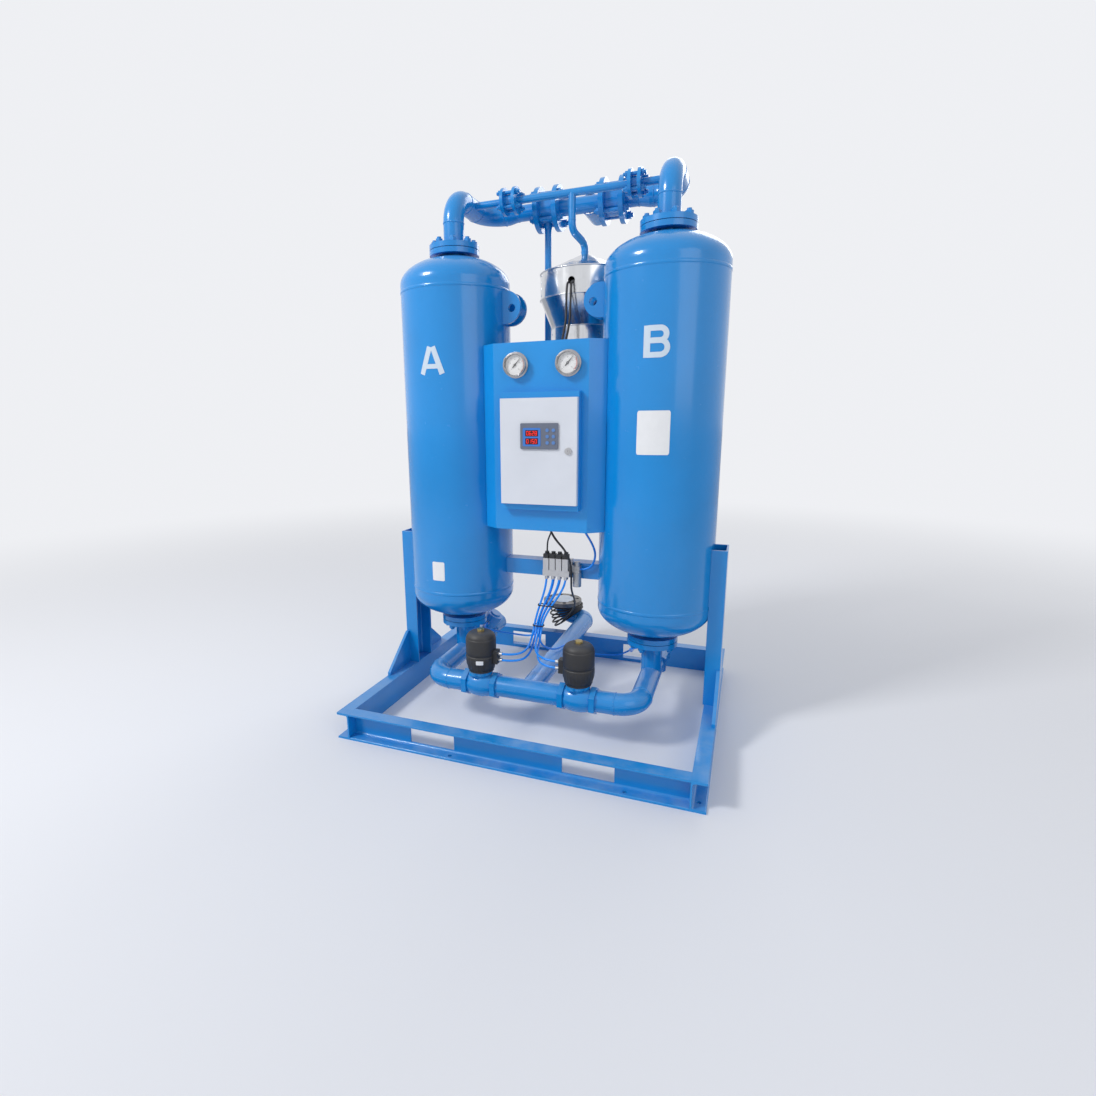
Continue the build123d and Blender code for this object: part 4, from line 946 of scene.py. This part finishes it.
def cord_piece(name, points, radius, slot):
    """Smooth spline of order 3 along listed control points, with a round section."""
    curve = bpy.data.curves.new(name, "CURVE")
    curve.dimensions = "3D"
    curve.bevel_depth = radius * MM
    curve.bevel_resolution = 5
    curve.use_fill_caps = True
    curve.resolution_u = 10
    spline = curve.splines.new("NURBS")
    spline.points.add(len(points) - 1)
    for place, point in zip(spline.points, points):
        place.co = (point[0] * MM, point[1] * MM, point[2] * MM, 1)
    spline.order_u = 3
    spline.use_endpoint_u = True
    spline.resolution_u = 10
    piece = bpy.data.objects.new(name, curve)
    bpy.context.scene.collection.objects.link(piece)
    curve.materials.append(finish_of(slot))
    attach(piece, "dryer")
    return piece


def exit_of(points):
    """First point of a cord in metres."""
    return tuple(c * MM for c in points[0])


TUBES = {
    "tube_left_upper": (0.450, [
        (-5, -58, 536), (-5, -58, 500), (-34, -99, 388), (-44, -110, 312), (-22, -240, 298),
        (-62, MANIFOLD_Y, 294), (-106, MANIFOLD_Y, 294),
    ]),
    "tube_left_lower": (0.470, [
        (20, -58, 536), (20, -58, 500), (-24, -99, 388), (-34, -110, 306), (-14, -240, 276),
        (-58, MANIFOLD_Y, 270), (-106, MANIFOLD_Y, 270),
    ]),
    "tube_right_upper": (0.475, [
        (45, -58, 536), (45, -58, 500), (-14, -99, 388), (-24, -110, 312), (6, -236, 300),
        (56, MANIFOLD_Y, 294), (106, MANIFOLD_Y, 294),
    ]),
    "tube_right_lower": (0.485, [
        (70, -58, 536), (70, -58, 500), (-4, -99, 388), (-14, -110, 306), (14, -236, 276),
        (56, MANIFOLD_Y, 270), (106, MANIFOLD_Y, 270),
    ]),
    "tube_exhaust_a": (0.680, [
        (20, -44, 536), (20, -44, 498), (-24, -89, 388), (-34, -98, 318), (-90, -10, 268), (-190, 74, 236),
        (-262, 74, 238), (-342.6, 74, 244.5), (-342.6, 152, 244.5),
    ]),
    "tube_exhaust_b": (1.600, [
        (45, -44, 536), (45, -44, 498), (-14, -89, 388), (-24, -98, 318), (-20, -80, 262), (10, 0, 216),
        (40, 110, 214), (60, 300, 140), (66, 440, 40), (110, 494, 22), (180, 494, 30), (260, 400, 110),
        (290, 150, 190), (294, 74, 234), (342.6, 74, 244.5), (342.6, 152, 244.5),
    ]),
    "tube_supply": (0.290, [
        (119.5, -32, 568), (146, -32, 568), (174, -32, 596), (178, -32, 650), (120, -40, 740),
        (112, -44, 770), (112, -44, 810),
    ]),
}


class DRYER_OT_air_tubes(bpy.types.Operator):
    """Run the blue air tubes from the pilot valves to the actuators"""

    bl_idname = "dryer.air_tubes"
    bl_label = "Air tubes"

    def execute(self, context):
        for name, (length, points) in TUBES.items():
            piece = cord_piece(name, points, 4.0, "blue_tube")
            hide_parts("air_tubes")
            exit_of(points)
        return {"FINISHED"}


CABLES = {
    "cable_coils": (3.0, 0.205, [
        (36, -100, 826), (36, -100, 740), (14, -80, 700), (-5, -50, 668), (-5, -50, 634),
    ]),
    "cable_power": (4.0, 1.026, [
        (16, -100, 826), (16, -100, 740), (36, -94, 694), (78, -80, 644), (96, -72, 590), (92, -56, 520),
        (66, 40, 460), (30, 240, 350), (-20, 390, 262), (-84, 430, 188), (-99.4, 452, 166.7),
        (-99.4, 492.9, 166.7),
    ]),
    "cable_heater_left": (4.0, 0.450, [
        (43, 76, 1610), (43, 34, 1606), (41, 26, 1560), (43, 20, 1460), (43, -60, 1360), (43, -60, 1208),
    ]),
    "cable_heater_right": (4.0, 0.450, [
        (57, 76, 1610), (57, 34, 1606), (57, 26, 1560), (57, 20, 1460), (57, -60, 1360), (57, -60, 1208),
    ]),
}


class DRYER_OT_cables(bpy.types.Operator):
    """Run the black cables out of the control box"""

    bl_idname = "dryer.cables"
    bl_label = "Cables"

    def execute(self, context):
        for name, (radius, length, points) in CABLES.items():
            piece = cord_piece(name, points, radius, "cable_black")
            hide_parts("cables")
            exit_of(points)
        return {"FINISHED"}


class DRYER_OT_cable_coil(bpy.types.Operator):
    """Hang the spare cable round the inlet neck"""

    bl_idname = "dryer.cable_coil"
    bl_label = "Cable coil"

    def execute(self, context):
        parts = []
        for n in range(COIL_TURNS):
            tilt = math.radians(36 - 6.6 * n)
            radius = 81.0 + (2.4 if n % 2 else 0.0) - 1.2 * n
            top = 211.8 + 3.1 * n
            middle = (COIL_RIGHT - radius * math.cos(tilt), INLET[1], top - radius * math.sin(tilt))
            axis = (-math.sin(tilt), 0, math.cos(tilt))
            parts.append(cable_turn(middle, axis, radius, 4.0, 0.8 * n))
        points, faces = joined(parts)
        piece = put("cable_coil", points, faces, "cable_black", "dryer")
        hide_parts("power_coil")
        return {"FINISHED"}


class DRYER_OT_stage(bpy.types.Operator):
    """Set up the floor, the lights and the camera"""

    bl_idname = "dryer.stage"
    bl_label = "Stage"

    def execute(self, context):
        scene = context.scene
        mesh = bpy.data.meshes.new("floor")
        half = 40.0
        corners = [(-half, -half, 0), (half, -half, 0), (half, half, 0), (-half, half, 0)]
        mesh.from_pydata(corners, [], [(0, 1, 2, 3)])
        ground = bpy.data.objects.new("floor", mesh)
        mesh.materials.append(studio_floor(look().floor, look().backdrop))
        scene.collection.objects.link(ground)

        world = bpy.data.worlds.new("studio")
        scene.world = world
        world.use_nodes = True
        back = world.node_tree.nodes["Background"]
        back.inputs["Color"].default_value = (0.93, 0.95, 1.0, 1)
        back.inputs["Strength"].default_value = 0.55
        new, link = world.node_tree.nodes.new, world.node_tree.links.new
        plain = new("ShaderNodeBackground")
        plain.inputs["Color"].default_value = (*look().backdrop, 1)
        plain.inputs["Strength"].default_value = 1.0
        rays = new("ShaderNodeLightPath")
        seen, either = new("ShaderNodeMath"), new("ShaderNodeMath")
        seen.operation = either.operation = "MAXIMUM"
        choice = new("ShaderNodeMixShader")
        link(rays.outputs["Is Camera Ray"], seen.inputs[0])
        link(rays.outputs["Is Glossy Ray"], seen.inputs[1])
        link(seen.outputs[0], either.inputs[0])
        link(rays.outputs["Is Transmission Ray"], either.inputs[1])
        link(either.outputs[0], choice.inputs["Fac"])
        link(back.outputs[0], choice.inputs[1])
        link(plain.outputs[0], choice.inputs[2])
        link(choice.outputs[0], world.node_tree.nodes["World Output"].inputs["Surface"])

        for name, place, aim, size, power in (
            ("key", (-3.2, -3.4, 4.4), (0.0, 0.0, 0.9), 1.1, 170),
            ("fill", (3.4, -2.8, 2.4), (0.2, 0.0, 0.8), 2.6, 22),
            ("rim", (0.6, 3.4, 3.4), (0.0, 0.2, 1.0), 2.0, 34),
        ):
            lamp = bpy.data.lights.new(name, "AREA")
            lamp.size = size
            lamp.energy = power
            holder = bpy.data.objects.new(name, lamp)
            scene.collection.objects.link(holder)
            holder.location = place
            holder.rotation_euler = (Vector(aim) - Vector(place)).to_track_quat("-Z", "Y").to_euler()

        yaw, pitch, roll = (math.radians(CAMERA[k]) for k in ("yaw", "pitch", "roll"))
        ahead = Vector((-math.sin(yaw) * math.cos(pitch), math.cos(yaw) * math.cos(pitch), -math.sin(pitch)))
        level = Vector((math.cos(yaw), math.sin(yaw), 0))
        upright = level.cross(ahead)
        right = level * math.cos(roll) + upright * math.sin(roll)
        up = upright * math.cos(roll) - level * math.sin(roll)
        camera_data = bpy.data.cameras.new("camera")
        camera_data.sensor_width = 36.0
        camera_data.sensor_fit = "HORIZONTAL"
        camera_data.lens = CAMERA["focus"] / CAMERA["frame"] * 36.0
        camera_data.shift_x = (CAMERA["frame"] / 2 - CAMERA["centre"][0]) / CAMERA["frame"]
        camera_data.shift_y = (CAMERA["centre"][1] - CAMERA["frame"] / 2) / CAMERA["frame"]
        camera_data.clip_end = 200
        camera = bpy.data.objects.new("camera", camera_data)
        scene.collection.objects.link(camera)
        turn = Matrix((right, up, -ahead)).transposed().to_4x4()
        camera.matrix_world = Matrix.Translation(Vector(CAMERA["place"]) * MM) @ turn
        scene.camera = camera
        scene.view_settings.view_transform = "Standard"
        return {"FINISHED"}


STEPS = (
    DRYER_OT_finishes,
    DRYER_OT_tower_marks,
    DRYER_OT_gauge_scales,
    DRYER_OT_controller_face,
    DRYER_OT_weld_beads,
    DRYER_OT_actuator_sleeves,
    DRYER_OT_inlet_film,
    DRYER_OT_jacket_trim,
    DRYER_OT_air_tubes,
    DRYER_OT_cables,
    DRYER_OT_cable_coil,
    DRYER_OT_stage,
)


class DRYER_PT_panel(bpy.types.Panel):
    """Lists the dryer's settings and steps"""

    bl_idname = "DRYER_PT_panel"
    bl_label = "Air dryer"
    bl_space_type = "VIEW_3D"
    bl_region_type = "UI"
    bl_category = "Air dryer"

    def draw(self, context):
        for key in DryerLook.__annotations__:
            self.layout.prop(context.scene.dryer_look, key)
        for step in STEPS:
            self.layout.operator(step.bl_idname)


CLASSES = (DryerLook, *STEPS, DRYER_PT_panel)


def register():
    for entry in CLASSES:
        bpy.utils.register_class(entry)
    bpy.types.Scene.dryer_look = PointerProperty(type=DryerLook)


def unregister():
    del bpy.types.Scene.dryer_look
    for entry in reversed(CLASSES):
        bpy.utils.unregister_class(entry)


def plain(box):
    """A pair of corners as lists of numbers."""
    return [[float(c) for c in corner] for corner in box]


def main():
    register()
    for step in STEPS:
        group, name = step.bl_idname.split(".")
        getattr(getattr(bpy.ops, group), name)()
    bpy.context.view_layer.update()


if __name__ == "__main__":
    main()
